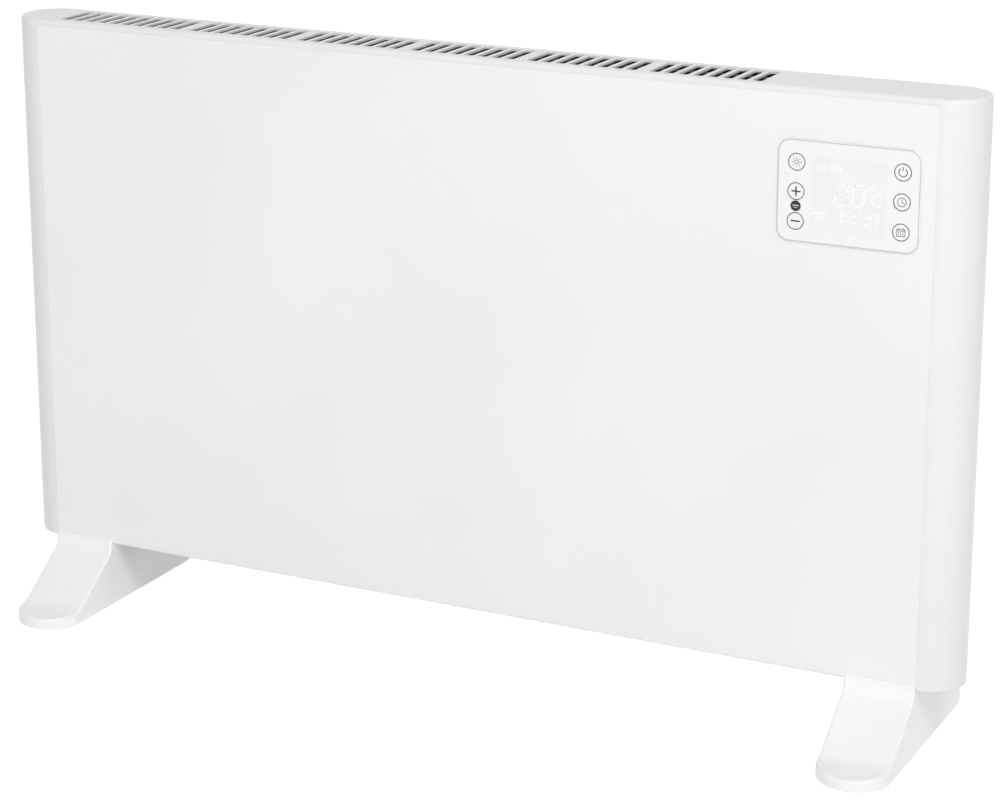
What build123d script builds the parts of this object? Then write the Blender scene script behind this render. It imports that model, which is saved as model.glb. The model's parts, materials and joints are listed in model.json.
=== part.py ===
from build123d import *
import math
import os

os.makedirs("parts", exist_ok=True)

# A panel convector heater that stands on two feet or hangs on a wall bracket.
# X runs to the right as seen from the front, the front faces -Y and +Z is up.
# The origin is on the floor under the middle of the body. Lengths are in millimetres.

# ------------------------------------------------------------------ driving dimensions

# Body
body_height = 405.0
panel_width = 695.0  # from seam to seam, between the half-round end caps
body_depth = 52.0
ground_clearance = 48.5  # floor to the underside of the body
sheet = 1.0  # painted sheet steel
bend_radius = 2.0  # outside radius of every fold
seam_gap = 0.4  # between the panels and the end caps
bottom_flange = 12.0
top_flange = 5.0
fit_gap = 0.2  # between pieces that slide together

# Top grille
grille_height = 4.2
grille_deck = 2.2
grille_rim_radius = 3.0
slot_pitch = 10.5
slot_width = 7.1
slot_length = 36.0
slot_setback = 2.0  # the slots lie this far in front of the middle
slot_corner = 1.6
slot_counts = (10, 8, 8, 8, 8, 8)
group_gap = 9.9
slots_start = 17.4  # left seam to the first slot
grille_rib_width = 4.0
grille_rib_depth = 3.3
grille_rib_setback = 3.0  # the rib lies this far behind the middle
hook_width = 6.0
hook_thickness = 1.6
hook_drop = 8.0
hook_barb = 1.2

# End caps
cap_wall = 2.2
cap_edge_radius = 1.2
tongue_length = 8.0
tongue_thickness = 2.0
cap_boss_radius = 3.2
cap_boss_length = 11.0
cap_screw_inset = 20.0  # outer screws from the tray's rim and the top of the shells

# Bottom tray
tray_flange = 12.0
tray_slot_width = 5.0
tray_slot_length = 24.0
tray_slot_count = 44
tray_screw_xs = (120.0, 280.0)  # either side of the middle
under_screw_xs = (80.0, 235.0)
under_screw_setback = 7.5  # behind the front face

# Rear panel
hook_slot_spacing_x = 400.0
hook_slot_spacing_z = 300.0
hook_slot_height = 30.0  # underside of the body to the lower pair of slots
hook_slot_length = 36.0
hook_slot_width = 14.0
hook_cup_margin = 1.0
hook_cup_depth = 12.0
rear_slot_width = 4.0
rear_slot_length = 24.0
rear_slot_pitch = 10.0
rear_slot_count = 31

# Feet
foot_width = 50.5
toe_reach = 72.0  # in front of the body and behind it
toe_height = 8.5
toe_curve = 19.0  # how far the rounded toe runs out past its straight sides
toe_corner = 8.0
instep_reach = 48.0
instep_height = 10.0
instep_radius = 20.0
throat_height = 43.0
throat_radius = 14.0
lip_thickness = 2.2
lip_rise = 3.8
lip_radius = 1.0
foot_wall = 2.6
foot_edge_radius = 1.8
foot_screw_spacing = 16.0
foot_boss_radius = 6.0
foot_boss_depth = 8.0  # solid part of the boss above the screw head
pad_radius = 8.0
pad_proud = 0.8
pad_recess = 1.2
pad_setback = 19.0  # tip of the toe to the middle of the pad
pad_boss_radius = 10.0

# Fasteners
pan_head_radius = 3.0
pan_head_height = 1.0
pan_shank_radius = 1.45
pan_shank_length = 9.0
pilot_radius = 1.5
small_head_radius = 2.8
small_head_height = 1.6
small_shank_radius = 1.45
foot_screw_radius = 2.0
foot_screw_head_radius = 3.5
foot_screw_head_height = 2.6
foot_nut_flats = 7.0
foot_nut_height = 3.2
stud_radius = 1.5
stud_nut_flats = 5.5
stud_nut_height = 2.4
recess_length = 3.0
recess_width = 0.8

# Control window
window_margin = 9.8  # right seam to the control window
window_drop = 69.0  # top of the body to the middle of the control window
window_width = 98.6
window_height = 69.4
window_corner = 9.0
window_thickness = 1.0
window_chamfer = 0.5
window_overlap = 3.3
spigot_depth = 1.0  # past the inside of the front panel
gasket_thickness = 0.3

# Display stack
display_rim_side = 4.0  # of the plate, past the window's spigot
display_rim_end = 12.6
display_plate_thickness = 2.0
board_corner = 3.0
stud_inset_side = 8.0  # from the edges of the display plate
stud_inset_end = 6.5
display_boss_radius = 4.0
display_boss_length = 8.0
display_stud_length = 12.5
gasket_inset = 1.2
board_thickness = 1.6
display_board_margin = 2.0  # of the display plate around its board
module_width = 56.0
module_height = 54.0
touch_pad_radius = 4.0
key_column_spacing = 72.5
key_column_shift = 0.45  # the key columns' middle, right of the window's middle
key_heights = (19.2, -0.5, -20.5)  # above the middle of the window
buzzer_place = (30.0, 14.0)  # from the middle of the window
buzzer_radius = 6.0
buzzer_height = 7.0
buzzer_hole_radius = 1.5
wireless_place = (-8.0, 22.0)
wireless_width = 24.0
wireless_height = 16.0
wireless_thickness = 3.2

# Power board
power_board_width = 88.0
power_board_height = 120.0
power_board_rise = 190.0  # underside of the body to the middle of the board
standoff_height = 7.0
standoff_flats = 5.5
standoff_inset = 5.0
header_size = (14.0, 7.0, 8.0)
header_wall = 1.0
header_pocket = 5.5
header_inset = 17.6  # left edge of the power board to the ribbon cable
board_screw_length = 6.0
relay_size = (15.5, 15.0, 19.0)
relay_gap = 1.0
relay_place = (26.25, 37.0)  # from the middle of the board to the middle of the pair
transformer_size = (30.0, 24.0, 26.0)
transformer_place = (-8.0, 37.0)
transformer_core_length = 14.0
transformer_winding_inset = 4.0
capacitor_radius = 5.0
capacitor_height = 14.0
capacitor_pitch = 12.0
capacitor_place = (-4.4, 13.5)  # the middle one of three round capacitors
film_capacitor_size = (18.0, 14.0, 8.0)
film_capacitor_place = (27.6, 13.5)
choke_radius = 8.0
choke_core_radius = 3.0
choke_base_thickness = 2.5
choke_sink = 0.5  # the ring is glued this far into its base
choke_place = (-9.4, -12.5)
fuse_radius = 2.6
fuse_length = 20.0
fuse_cap_length = 5.0
fuse_cap_thickness = 0.3
fuse_axis_height = 5.0
fuse_place = (21.6, -6.5)
heatsink_size = (24.0, 14.0, 26.0)
heatsink_base = 4.0
heatsink_fins = 5
heatsink_fin = 1.6
heatsink_place = (21.6, -30.5)
thermostat_header_place = (-33.4, 6.5)
element_header_place = (-33.4, -29.5)
mains_header_offset = 12.0
sensor_header_offset = -15.4

# Heating element
element_rise = 85.0  # underside of the body to the element's axis
element_left_gap = 45.0  # left seam to the end of the fins
element_right_gap = 36.0  # end of the fins to the control partition
hub_radius = 6.5
rod_radius = 4.0
arm_angle = 58.0
arm_length = 26.0
arm_thickness = 1.6
finlet_length = 9.0
finlet_thickness = 1.2
finlet_places = (13.5, 20.0)
running_gap = 0.05
bush_flange_radius = 9.0
bush_flange_thickness = 3.0
bush_radius = 6.0
bush_length = 6.0
rod_reach = 9.0  # the rod runs this far past the bracket
end_space = 8.0  # end of the fins to the bracket
terminal_radius = 1.6
terminal_length = 9.0
terminal_nut_flats = 5.5
terminal_nut_height = 2.4
terminal_tab_rise = 11.0
bracket_thickness = 1.2
bracket_front = 18.0  # the bracket reaches this far in front of the middle
bracket_below = 35.0
bracket_above = 85.0
bracket_flange = 12.0
bracket_screw_inset = 12.0
shield_thickness = 0.5
shield_space = 6.5  # in front of the rear panel
shield_below = 30.0
shield_above = 150.0
shield_flange = 7.0

# Control bay
bay_clearance = 10.4  # control partition to the display plate
partition_flange = 12.0
partition_top_gap = 12.0
partition_screw_rise = 80.0
partition_screw_drop = 60.0
grommet_rise = 185.0
grommet_hole_radius = 6.0
grommet_rim = 2.0
grommet_bore_radius = 3.6
thermostat_rise = 225.0
thermostat_radius = 8.0
thermostat_cap_height = 4.0
thermostat_body_radius = 7.4
thermostat_body_height = 7.0
thermostat_flange_thickness = 1.0
thermostat_ear_radius = 4.2
thermostat_hole_spacing = 24.0
thermostat_tab_spacing = 8.0
tab_width = 6.3
tab_thickness = 0.8
tab_length = 8.0
rim_thickness = 1.2
small_shank_length = 5.0
thermal_fuse_rise = 165.0
thermal_fuse_radius = 2.0
thermal_fuse_length = 12.0
fuse_clip_size = 7.0
fuse_clip_wall = 4.5  # partition to the thermal fuse's axis

# Room sensor
sensor_inset = 22.0  # control partition to the sensor
sensor_setback = 8.0
sensor_radius = 2.0
sensor_length = 15.0
sensor_tip = 2.0  # the sensor's end stands this far below the tray
sensor_clip_size = (10.0, 9.0, 6.0)
earth_inset = 34.0  # control partition to the earth screw
earth_setback = 8.0  # earth screw behind the middle of the body
earth_tag_radius = 4.2
earth_tag_thickness = 0.8
earth_tag_neck = 3.6
earth_tag_length = 9.0

# Main switch
switch_offset = 22.0  # from the middle of the control bay
switch_rise = 75.0
rocker_half_length = 7.6
rocker_width = 10.0
rocker_pivot_depth = 2.0  # pivot below the outside of the rear panel
rocker_dip = 1.0  # middle of the rocker above the outside of the rear panel
rocker_under = 4.0
rocker_tilt = 12.0
rocker_gap = 0.3
rocker_stub_radius = 1.2
rocker_stub_length = 1.4
switch_wall = 2.0
switch_depth = 14.0
switch_bezel = 1.8  # bezel overlap on the rear panel
switch_bezel_thickness = 1.6
switch_tab_spacing = 9.0

# Tip-over switch
tip_rise = 47.0  # underside of the body to the pendulum's pin
tip_wall = 2.0
tip_gap = 0.6
tip_drop = 32.0
tip_head = 9.0
tip_half_depth = 21.0
tip_ear = 8.0
tip_window_width = 22.0
tip_window_height = 12.0
bob_radius = 7.0
bob_thickness = 10.0
bob_drop = 20.0
pendulum_hub_radius = 4.0
pendulum_arm = 4.0
tip_pin_radius = 1.5
tip_pin_head_radius = 2.5
tip_pin_head_height = 1.2

# Mains inlet
gland_rise = 26.0
gland_flange_radius = 10.0
gland_flange_thickness = 3.0
gland_body_radius = 7.0
gland_bore_radius = 3.6
gland_inside = 12.0
gland_nut_flats = 19.0
gland_nut_height = 4.0
terminal_block_size = (34.0, 18.0, 15.0)
terminal_block_setback = 8.0  # in front of the middle of the body
terminal_block_pitch = 11.0
terminal_block_groove = 1.0
terminal_block_well_radius = 2.2
terminal_block_well_depth = 5.0
terminal_block_well_setback = 5.0  # the wells lie this far behind the wires
wire_setback = 2.5  # the wires lie this far in front of the block's middle
socket_depth = 5.0

# Wiring
lead_diameter = 2.6
lead_bend = 7.0  # largest bend radius of the wires inside
sensor_lead_diameter = 1.6
ribbon_width = 11.0
ribbon_thickness = 0.8
ribbon_bend = 6.0
ribbon_straight = 0.3  # at each end, as a share of the gap between the boards
earth_lead_run = 10.0  # past the earth tag
earth_lead_rise = 20.0  # above the terminal block
thermostat_lead_rise = 10.0  # above its header
thermostat_lead_loop = 12.0  # above the upper tab
grommet_straight = 7.0
fuse_lead_straight = 30.0
element_lead_straight = 15.0
left_lead_straight = 50.0
lead_run_rise = 10.0  # above the element's brackets
lead_run_ends = (5.0, 14.0)  # right of the right-hand bracket
return_lead_shift = 1.0
sensor_lead_straight = 30.0

# --------------------------------------------------------------------- derived places

half_width = panel_width / 2
half_depth = body_depth / 2
body_bottom = ground_clearance
body_top = body_bottom + body_height
shell_top = body_top - grille_height
panel_edge = half_width - seam_gap / 2
cap_edge = half_width + seam_gap / 2
front_inside = -half_depth + sheet
rear_inside = half_depth - sheet
tray_floor = body_bottom + 2 * sheet
tray_rim = body_bottom + sheet + tray_flange
bay_x = half_width - window_margin - window_width / 2
display_plate_width = window_width - 2 * window_overlap + 2 * display_rim_side
display_plate_height = window_height - 2 * window_overlap + 2 * display_rim_end
display_board_width = display_plate_width - 2 * display_board_margin
display_board_height = display_plate_height - 2 * display_board_margin
partition_x = bay_x - display_plate_width / 2 - bay_clearance
window_z = body_top - window_drop
element_z = body_bottom + element_rise
element_left = -half_width + element_left_gap
element_right = partition_x - element_right_gap
switch_x = bay_x + switch_offset
switch_z = body_bottom + switch_rise
tip_z = body_bottom + tip_rise
gland_z = body_bottom + gland_rise
rocker_lift = rocker_pivot_depth + rocker_dip
rocker_end_lift = rocker_lift + rocker_half_length * math.tan(math.radians(rocker_tilt))
rocker_radius = math.hypot(rocker_half_length, rocker_end_lift)

# ------------------------------------------------------------------------------ helpers


def block(low, high, mode=Mode.ADD):
    """A rectangular block between two corners, for the part being built."""
    size = [b - a for a, b in zip(low, high)]
    middle = Vector(*[(a + b) / 2 for a, b in zip(low, high)])
    with Locations(middle):
        Box(*size, mode=mode)


def rod(start, axis, length, radius, mode=Mode.ADD):
    """A round rod from a start point along an axis, for the part being built."""
    with Locations(Plane(origin=start, z_dir=axis)):
        Cylinder(radius, length, align=(Align.CENTER, Align.CENTER, Align.MIN), mode=mode)


def hexagon(start, axis, length, flats, mode=Mode.ADD):
    """A hexagonal bar from a start point along an axis, for the part being built."""
    plane = Plane(origin=start, z_dir=axis)
    with BuildSketch(plane, mode=Mode.PRIVATE) as outline:
        RegularPolygon(flats / 2, 6, major_radius=False)
    extrude(outline.sketch, amount=length, mode=mode)


def screw(length, radius, head_radius, head_height):
    """A cross-recessed pan-head screw with its seat at the origin, pointing along +Z."""
    with BuildPart() as fastener:
        Cylinder(radius, length, align=(Align.CENTER, Align.CENTER, Align.MIN))
        with Locations((0, 0, -head_height)):
            Cylinder(head_radius, head_height, align=(Align.CENTER, Align.CENTER, Align.MIN))
        with BuildSketch(Plane.XY.offset(-head_height)) as recess:
            Rectangle(recess_length, recess_width)
            Rectangle(recess_width, recess_length)
        extrude(amount=head_height / 2, mode=Mode.SUBTRACT)
    return fastener.part


def folded_sheet(*corners, place=Plane.YZ, radius=bend_radius, thickness=sheet):
    """Section of a folded sheet whose outside follows the corners."""
    with BuildSketch(place) as section:
        with BuildLine():
            FilletPolyline(*corners, radius=radius)
            offset(amount=thickness, side=Side.LEFT)
        make_face()
    return section.sketch


def half_round(edge, radius, level):
    """A half disc that starts at the seam of the right-hand end cap."""
    with BuildSketch(Plane.XY.offset(level)) as outline:
        with BuildLine():
            Line((edge, -radius), (edge, radius))
            ThreePointArc((edge, radius), (edge + radius, 0), (edge, -radius))
        make_face()
    return outline.sketch


def lead(points, diameter):
    """A wire along straight runs joined by arcs, each as large as its clips and runs allow."""
    corners = [Vector(*point) for point in points]
    radii = []
    for before, corner, after in zip(corners, corners[1:], corners[2:]):
        half_turn = math.radians((corner - before).get_angle(after - corner)) / 2
        run = min((corner - before).length, (after - corner).length)
        radii.append(min(lead_bend, 0.45 * run / math.tan(half_turn)))
    print("bend radii", [round(radius, 1) for radius in radii])
    with BuildLine() as path:
        FilletPolyline(*corners, radius=radii)
    with BuildSketch(Plane(origin=path.line @ 0, z_dir=path.line % 0)) as section:
        Circle(diameter / 2)
    return sweep(section.sketch, path=path.line)


# ------------------------------------------------------------------------- body shells

cap_screw_heights = (
    tray_rim + cap_screw_inset,
    (tray_rim + shell_top) / 2,
    shell_top - cap_screw_inset,
)
cap_screw_x = half_width - tongue_length / 2
tray_screw_places = [side * x for side in (-1, 1) for x in tray_screw_xs]
tray_screw_z = (tray_floor + tray_rim) / 2
under_screw_places = [side * x for side in (-1, 1) for x in under_screw_xs]
under_screw_y = -half_depth + under_screw_setback
partition_screw_x = partition_x + sheet + (partition_flange - sheet) / 2
partition_screw_heights = (body_bottom + partition_screw_rise, shell_top - partition_screw_drop)
bracket_left = element_left - end_space - bracket_thickness
bracket_right = element_right + end_space
bracket_low = element_z - bracket_below
bracket_high = element_z + bracket_above
bracket_screw_heights = (bracket_low + bracket_screw_inset, bracket_high - bracket_screw_inset)
bracket_screw_xs = (
    bracket_left - (bracket_flange - bracket_thickness) / 2,
    bracket_right + bracket_thickness + (bracket_flange - bracket_thickness) / 2,
)

# Every pan-head screw that goes in from behind, as (x, z)
rear_screw_places = (
    [(side * cap_screw_x, z) for side in (-1, 1) for z in cap_screw_heights]
    + [(x, tray_screw_z) for x in tray_screw_places]
    + [(partition_screw_x, z) for z in partition_screw_heights]
    + [(x, z) for x in bracket_screw_xs for z in bracket_screw_heights]
)

with BuildPart() as front_panel:
    extrude(
        folded_sheet(
            (-half_depth + top_flange, shell_top),
            (-half_depth, shell_top),
            (-half_depth, body_bottom),
            (-half_depth + bottom_flange, body_bottom),
        ),
        amount=panel_edge,
        both=True,
    )
    with BuildSketch(Plane.XZ.offset(half_depth)) as window_cut:
        with Locations((bay_x, window_z)):
            RectangleRounded(
                window_width - 2 * window_overlap + 2 * fit_gap,
                window_height - 2 * window_overlap + 2 * fit_gap,
                window_corner - window_overlap + fit_gap,
            )
    extrude(amount=-sheet, mode=Mode.SUBTRACT)
    with BuildSketch(Plane.XY.offset(body_bottom)) as under_holes:
        with Locations(*[(x, under_screw_y) for x in under_screw_places]):
            Circle(pilot_radius)
    extrude(amount=sheet, mode=Mode.SUBTRACT)
front_panel.part.label = "front_panel"
export_step(front_panel.part, "parts/front_panel.step")

hook_slot_places = [
    (side * hook_slot_spacing_x / 2, body_bottom + hook_slot_height + rise)
    for side in (-1, 1)
    for rise in (0, hook_slot_spacing_z)
]

with BuildPart() as rear_panel:
    extrude(
        folded_sheet(
            (half_depth - bottom_flange, body_bottom),
            (half_depth, body_bottom),
            (half_depth, shell_top),
            (half_depth - top_flange, shell_top),
        ),
        amount=panel_edge,
        both=True,
    )
    # welded cups that keep the hooks of a wall bracket away from the live pieces
    with BuildSketch(Plane.XZ.offset(-rear_inside)) as hook_cups:
        with Locations(*hook_slot_places):
            SlotOverall(
                hook_slot_length + 2 * (hook_cup_margin + sheet),
                hook_slot_width + 2 * (hook_cup_margin + sheet),
            )
    extrude(amount=hook_cup_depth + sheet)
    with BuildSketch(Plane.XZ.offset(-rear_inside)) as hook_hollows:
        with Locations(*hook_slot_places):
            SlotOverall(
                hook_slot_length + 2 * hook_cup_margin,
                hook_slot_width + 2 * hook_cup_margin,
            )
    extrude(amount=hook_cup_depth, mode=Mode.SUBTRACT)
    with BuildSketch(Plane.XZ.offset(-half_depth)) as hook_slots:
        with Locations(*hook_slot_places):
            SlotOverall(hook_slot_length, hook_slot_width)
    extrude(amount=sheet, mode=Mode.SUBTRACT)
    # a row of intake slots between the lower hook slots
    with BuildSketch(Plane.XZ.offset(-half_depth)) as rear_slots:
        with Locations((0, body_bottom + hook_slot_height)):
            with GridLocations(rear_slot_pitch, 0, rear_slot_count, 1):
                SlotOverall(rear_slot_length, rear_slot_width, rotation=90)
    extrude(amount=sheet, mode=Mode.SUBTRACT)
    with BuildSketch(Plane.XZ.offset(-half_depth)) as rear_holes:
        with Locations(*rear_screw_places):
            Circle(pilot_radius)
        with Locations((bay_x, gland_z)):
            Circle(gland_body_radius + running_gap)
        with Locations((switch_x, switch_z)):
            Rectangle(
                rocker_width + 2 * (rocker_gap + switch_wall + running_gap),
                2 * (rocker_radius + rocker_gap + switch_wall + running_gap),
            )
    extrude(amount=sheet, mode=Mode.SUBTRACT)
rear_panel.part.label = "rear_panel"
export_step(rear_panel.part, "parts/rear_panel.step")

foot_middle = half_width - foot_width / 2
foot_screw_places = [
    (x, y)
    for x in (-foot_middle, foot_middle)
    for y in (-foot_screw_spacing / 2, foot_screw_spacing / 2)
]
sensor_x = partition_x + sensor_inset
earth_x = partition_x + earth_inset
earth_y = earth_setback

with BuildPart() as bottom_tray:
    extrude(
        folded_sheet(
            (front_inside, tray_rim),
            (front_inside, body_bottom + sheet),
            (rear_inside, body_bottom + sheet),
            (rear_inside, tray_rim),
        ),
        amount=panel_edge,
        both=True,
    )
    with BuildSketch(Plane.XY.offset(body_bottom + sheet)) as tray_holes:
        with Locations(((partition_x - half_width) / 2, 0)):
            with GridLocations(slot_pitch, 0, tray_slot_count, 1):
                SlotOverall(tray_slot_length, tray_slot_width, rotation=90)
        with Locations(*foot_screw_places):
            Circle(foot_screw_radius + fit_gap)
        with Locations(*[(x, under_screw_y) for x in under_screw_places]):
            Circle(pilot_radius)
        with Locations((sensor_x, -sensor_setback)):
            Circle(sensor_radius + fit_gap)
        with Locations((earth_x, earth_y)):
            Circle(pilot_radius)
    extrude(amount=sheet, mode=Mode.SUBTRACT)
    with BuildSketch(Plane.XZ.offset(-rear_inside)) as tray_rear_holes:
        with Locations(*[(x, tray_screw_z) for x in tray_screw_places]):
            Circle(pilot_radius)
    extrude(amount=sheet, mode=Mode.SUBTRACT)
bottom_tray.part.label = "bottom_tray"
export_step(bottom_tray.part, "parts/bottom_tray.step")

# ---------------------------------------------------------------------------- end caps

with BuildPart() as right_end_cap:
    extrude(half_round(cap_edge, half_depth, body_bottom), amount=shell_top - body_bottom)
    fillet(
        right_end_cap.edges().filter_by(GeomType.CIRCLE).sort_by(Axis.Z)[0],
        cap_edge_radius,
    )
    extrude(
        half_round(cap_edge, half_depth - cap_wall, body_bottom + cap_wall),
        amount=shell_top - body_bottom - cap_wall,
        mode=Mode.SUBTRACT,
    )
    # tongues that slide in behind the front and rear panels
    for side in (-1, 1):
        outer = side * (half_depth - sheet)
        inner = side * (half_depth - sheet - tongue_thickness)
        block(
            (half_width - tongue_length, min(outer, inner), tray_rim + sheet),
            (cap_edge + cap_wall, max(outer, inner), shell_top - sheet - bend_radius),
        )
    for z in cap_screw_heights:
        rod((cap_screw_x, rear_inside, z), (0, -1, 0), cap_boss_length, cap_boss_radius)
        rod((cap_screw_x, rear_inside, z), (0, -1, 0), cap_boss_length, pilot_radius, Mode.SUBTRACT)
right_end_cap.part.label = "right_end_cap"
export_step(right_end_cap.part, "parts/right_end_cap.step")

with BuildPart() as left_end_cap:
    add(mirror(right_end_cap.part, about=Plane.YZ, mode=Mode.PRIVATE))
left_end_cap.part.label = "left_end_cap"
export_step(left_end_cap.part, "parts/left_end_cap.step")

# -------------------------------------------------------------------------- top grille

slot_places = []
group_gaps = []
next_slot = -half_width + slots_start
for count in slot_counts:
    for index in range(count):
        slot_places.append(next_slot + index * slot_pitch + slot_width / 2)
    group_end = next_slot + (count - 1) * slot_pitch + slot_width
    group_gaps.append(group_end + group_gap / 2)
    next_slot = group_end + group_gap
grille_hook_places = [-half_width + slots_start / 2, *group_gaps[:-1], bay_x, half_width - slots_start / 2]
deck_under = body_top - grille_deck
flange_edge = half_depth - top_flange

hook_face = flange_edge - fit_gap
hook_places = [(x, side) for x in grille_hook_places for side in (-1, 1)]
barb_top = shell_top - sheet - fit_gap

with BuildPart() as top_grille:
    with BuildSketch(Plane.XY.offset(shell_top)) as grille_plan:
        SlotCenterToCenter(2 * cap_edge, body_depth)
    extrude(amount=grille_height)
    fillet(top_grille.faces().sort_by(Axis.Z)[-1].edges(), grille_rim_radius)
    with BuildSketch(Plane.XY.offset(shell_top)) as grille_pocket:
        SlotCenterToCenter(2 * cap_edge, 2 * hook_face)
    extrude(amount=grille_height - grille_deck, mode=Mode.SUBTRACT)
    # lengthwise rib that ties the bars between the slots together
    block(
        (-half_width, grille_rib_setback - grille_rib_width / 2, deck_under - grille_rib_depth),
        (half_width, grille_rib_setback + grille_rib_width / 2, deck_under),
    )
    # snap hooks behind the edges of the panels' top flanges
    with BuildSketch(Plane.XY.offset(shell_top - hook_drop)) as hook_legs:
        with Locations(*[(x, side * (hook_face - hook_thickness / 2)) for x, side in hook_places]):
            Rectangle(hook_width, hook_thickness)
    extrude(amount=deck_under - shell_top + hook_drop)
    with BuildSketch(Plane.XY.offset(barb_top)) as hook_barbs:
        with Locations(*[(x, side * hook_face) for x, side in hook_places]):
            Rectangle(hook_width, 2 * hook_barb)
    extrude(amount=-2 * hook_barb)
    with BuildSketch(Plane.XY.offset(deck_under)) as grille_slots:
        with Locations(*[(x, -slot_setback) for x in slot_places]):
            RectangleRounded(slot_width, slot_length, slot_corner)
    extrude(amount=grille_deck, mode=Mode.SUBTRACT)
top_grille.part.label = "top_grille"
export_step(top_grille.part, "parts/top_grille.step")

# -------------------------------------------------------------------------------- feet

foot_left = half_width - foot_width
toe_y = half_depth + toe_reach
lip_y = half_depth + lip_thickness
foot_seat = body_bottom - foot_boss_depth


def foot_section(place):
    """Side view of a foot, with its lips in front of and behind the body."""
    with BuildSketch(place) as section:
        with BuildLine() as outline:
            Polyline(
                (0, pad_proud),
                (-toe_y, pad_proud),
                (-toe_y, toe_height),
                (-half_depth - instep_reach, instep_height),
                (-lip_y, throat_height),
                (-lip_y, body_bottom + lip_rise),
                (-half_depth, body_bottom + lip_rise),
                (-half_depth, body_bottom),
                (0, body_bottom),
            )
            mirror(about=Plane.YZ)
        make_face()
        for side in (-1, 1):
            instep = (side * (half_depth + instep_reach), instep_height)
            fillet(section.vertices().sort_by_distance(instep)[0], instep_radius)
            throat = (side * lip_y, throat_height)
            fillet(section.vertices().sort_by_distance(throat)[0], throat_radius)
    return section.sketch


def foot_plan(inset):
    """Plan of a foot with rounded toes, its walls taken in by an inset."""
    side = toe_y - toe_curve
    with BuildSketch(Plane.XY) as plan:
        with BuildLine():
            Line((foot_left, -side), (foot_left, side))
            ThreePointArc((foot_left, side), (foot_middle, toe_y), (half_width, side))
            Line((half_width, side), (half_width, -side))
            ThreePointArc((half_width, -side), (foot_middle, -toe_y), (foot_left, -side))
        make_face()
        fillet(plan.vertices(), toe_corner)
        if inset:
            offset(amount=-inset)
    return plan.sketch


with BuildPart() as foot_core:
    core_place = Plane.YZ.offset(foot_left)
    core_section = offset(foot_section(core_place), amount=-foot_wall, mode=Mode.PRIVATE)
    extrude(core_section, amount=foot_width)
    block(
        (foot_left, -toe_y + foot_wall, -pad_proud),
        (half_width, toe_y - foot_wall, pad_proud + 1.5 * foot_wall),
    )
    extrude(foot_plan(foot_wall), amount=body_bottom, mode=Mode.INTERSECT)
    for side in (-1, 1):
        rod(
            (foot_middle, side * (toe_y - pad_setback), -pad_proud),
            (0, 0, 1),
            body_bottom,
            pad_boss_radius,
            Mode.SUBTRACT,
        )
        rod(
            (foot_middle, side * foot_screw_spacing / 2, foot_seat),
            (0, 0, 1),
            foot_boss_depth,
            foot_boss_radius,
            Mode.SUBTRACT,
        )

with BuildPart() as right_foot:
    extrude(foot_section(Plane.YZ.offset(foot_left)), amount=foot_width)
    extrude(foot_plan(0), amount=body_top, mode=Mode.INTERSECT)
    # round the top edge on both sides of the slope and around the toes
    outline_edges = [
        edge
        for edge in right_foot.edges()
        if edge.bounding_box().min.Z > toe_height / 2
        and abs(edge.center().Y) > lip_y + lip_thickness
        and abs(edge.center().X - foot_middle) > foot_edge_radius
    ]
    fillet(outline_edges, foot_edge_radius)
    lip_edges = [
        edge
        for edge in right_foot.edges().filter_by(Axis.X).group_by(Axis.Z)[-1]
        if abs(edge.center().Y) > half_depth + lip_thickness / 2
    ]
    fillet(lip_edges, lip_radius)
    add(foot_core.part, mode=Mode.SUBTRACT)
    pad_half = half_depth - bottom_flange - fit_gap
    block(
        (foot_left + foot_wall, -pad_half, body_bottom - sheet),
        (half_width - foot_wall, pad_half, body_bottom + sheet),
    )
    for side in (-1, 1):
        rod(
            (foot_middle, side * (toe_y - pad_setback), pad_proud),
            (0, 0, 1),
            pad_recess,
            pad_radius + running_gap,
            Mode.SUBTRACT,
        )
        rod(
            (foot_middle, side * foot_screw_spacing / 2, foot_seat),
            (0, 0, 1),
            foot_boss_depth + 2 * sheet,
            foot_screw_radius + fit_gap,
            Mode.SUBTRACT,
        )
right_foot.part.label = "right_foot"
export_step(right_foot.part, "parts/right_foot.step")

with BuildPart() as left_foot:
    add(mirror(right_foot.part, about=Plane.YZ, mode=Mode.PRIVATE))
left_foot.part.label = "left_foot"
export_step(left_foot.part, "parts/left_foot.step")

with BuildPart() as foot_pads:
    for x in (-foot_middle, foot_middle):
        for y in (-toe_y + pad_setback, toe_y - pad_setback):
            rod((x, y, 0), (0, 0, 1), pad_proud + pad_recess, pad_radius)
foot_pads.part.label = "foot_pads"
export_step(foot_pads.part, "parts/foot_pads.step")

foot_screw = screw(
    tray_floor + foot_nut_height + sheet - foot_seat,
    foot_screw_radius,
    foot_screw_head_radius,
    foot_screw_head_height,
)
with BuildPart() as foot_screws:
    with Locations(*[(x, y, foot_seat) for x, y in foot_screw_places]):
        add(foot_screw)
foot_screws.part.label = "foot_screws"
export_step(foot_screws.part, "parts/foot_screws.step")

with BuildPart() as foot_nuts:
    with BuildSketch(Plane.XY.offset(tray_floor)) as foot_nut_outline:
        with Locations(*foot_screw_places):
            RegularPolygon(foot_nut_flats / 2, 6, major_radius=False)
            Circle(foot_screw_radius + running_gap, mode=Mode.SUBTRACT)
    extrude(amount=foot_nut_height)
foot_nuts.part.label = "foot_nuts"
export_step(foot_nuts.part, "parts/foot_nuts.step")

pan_screw = screw(pan_shank_length, pan_shank_radius, pan_head_radius, pan_head_height)
with BuildPart() as housing_screws:
    with Locations(*[Plane(origin=(x, half_depth, z), z_dir=(0, -1, 0)) for x, z in rear_screw_places]):
        add(pan_screw)
    with Locations(*[(x, under_screw_y, body_bottom) for x in under_screw_places]):
        add(pan_screw)
housing_screws.part.label = "housing_screws"
export_step(housing_screws.part, "parts/housing_screws.step")

# ---------------------------------------------------------------------- control window

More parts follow.
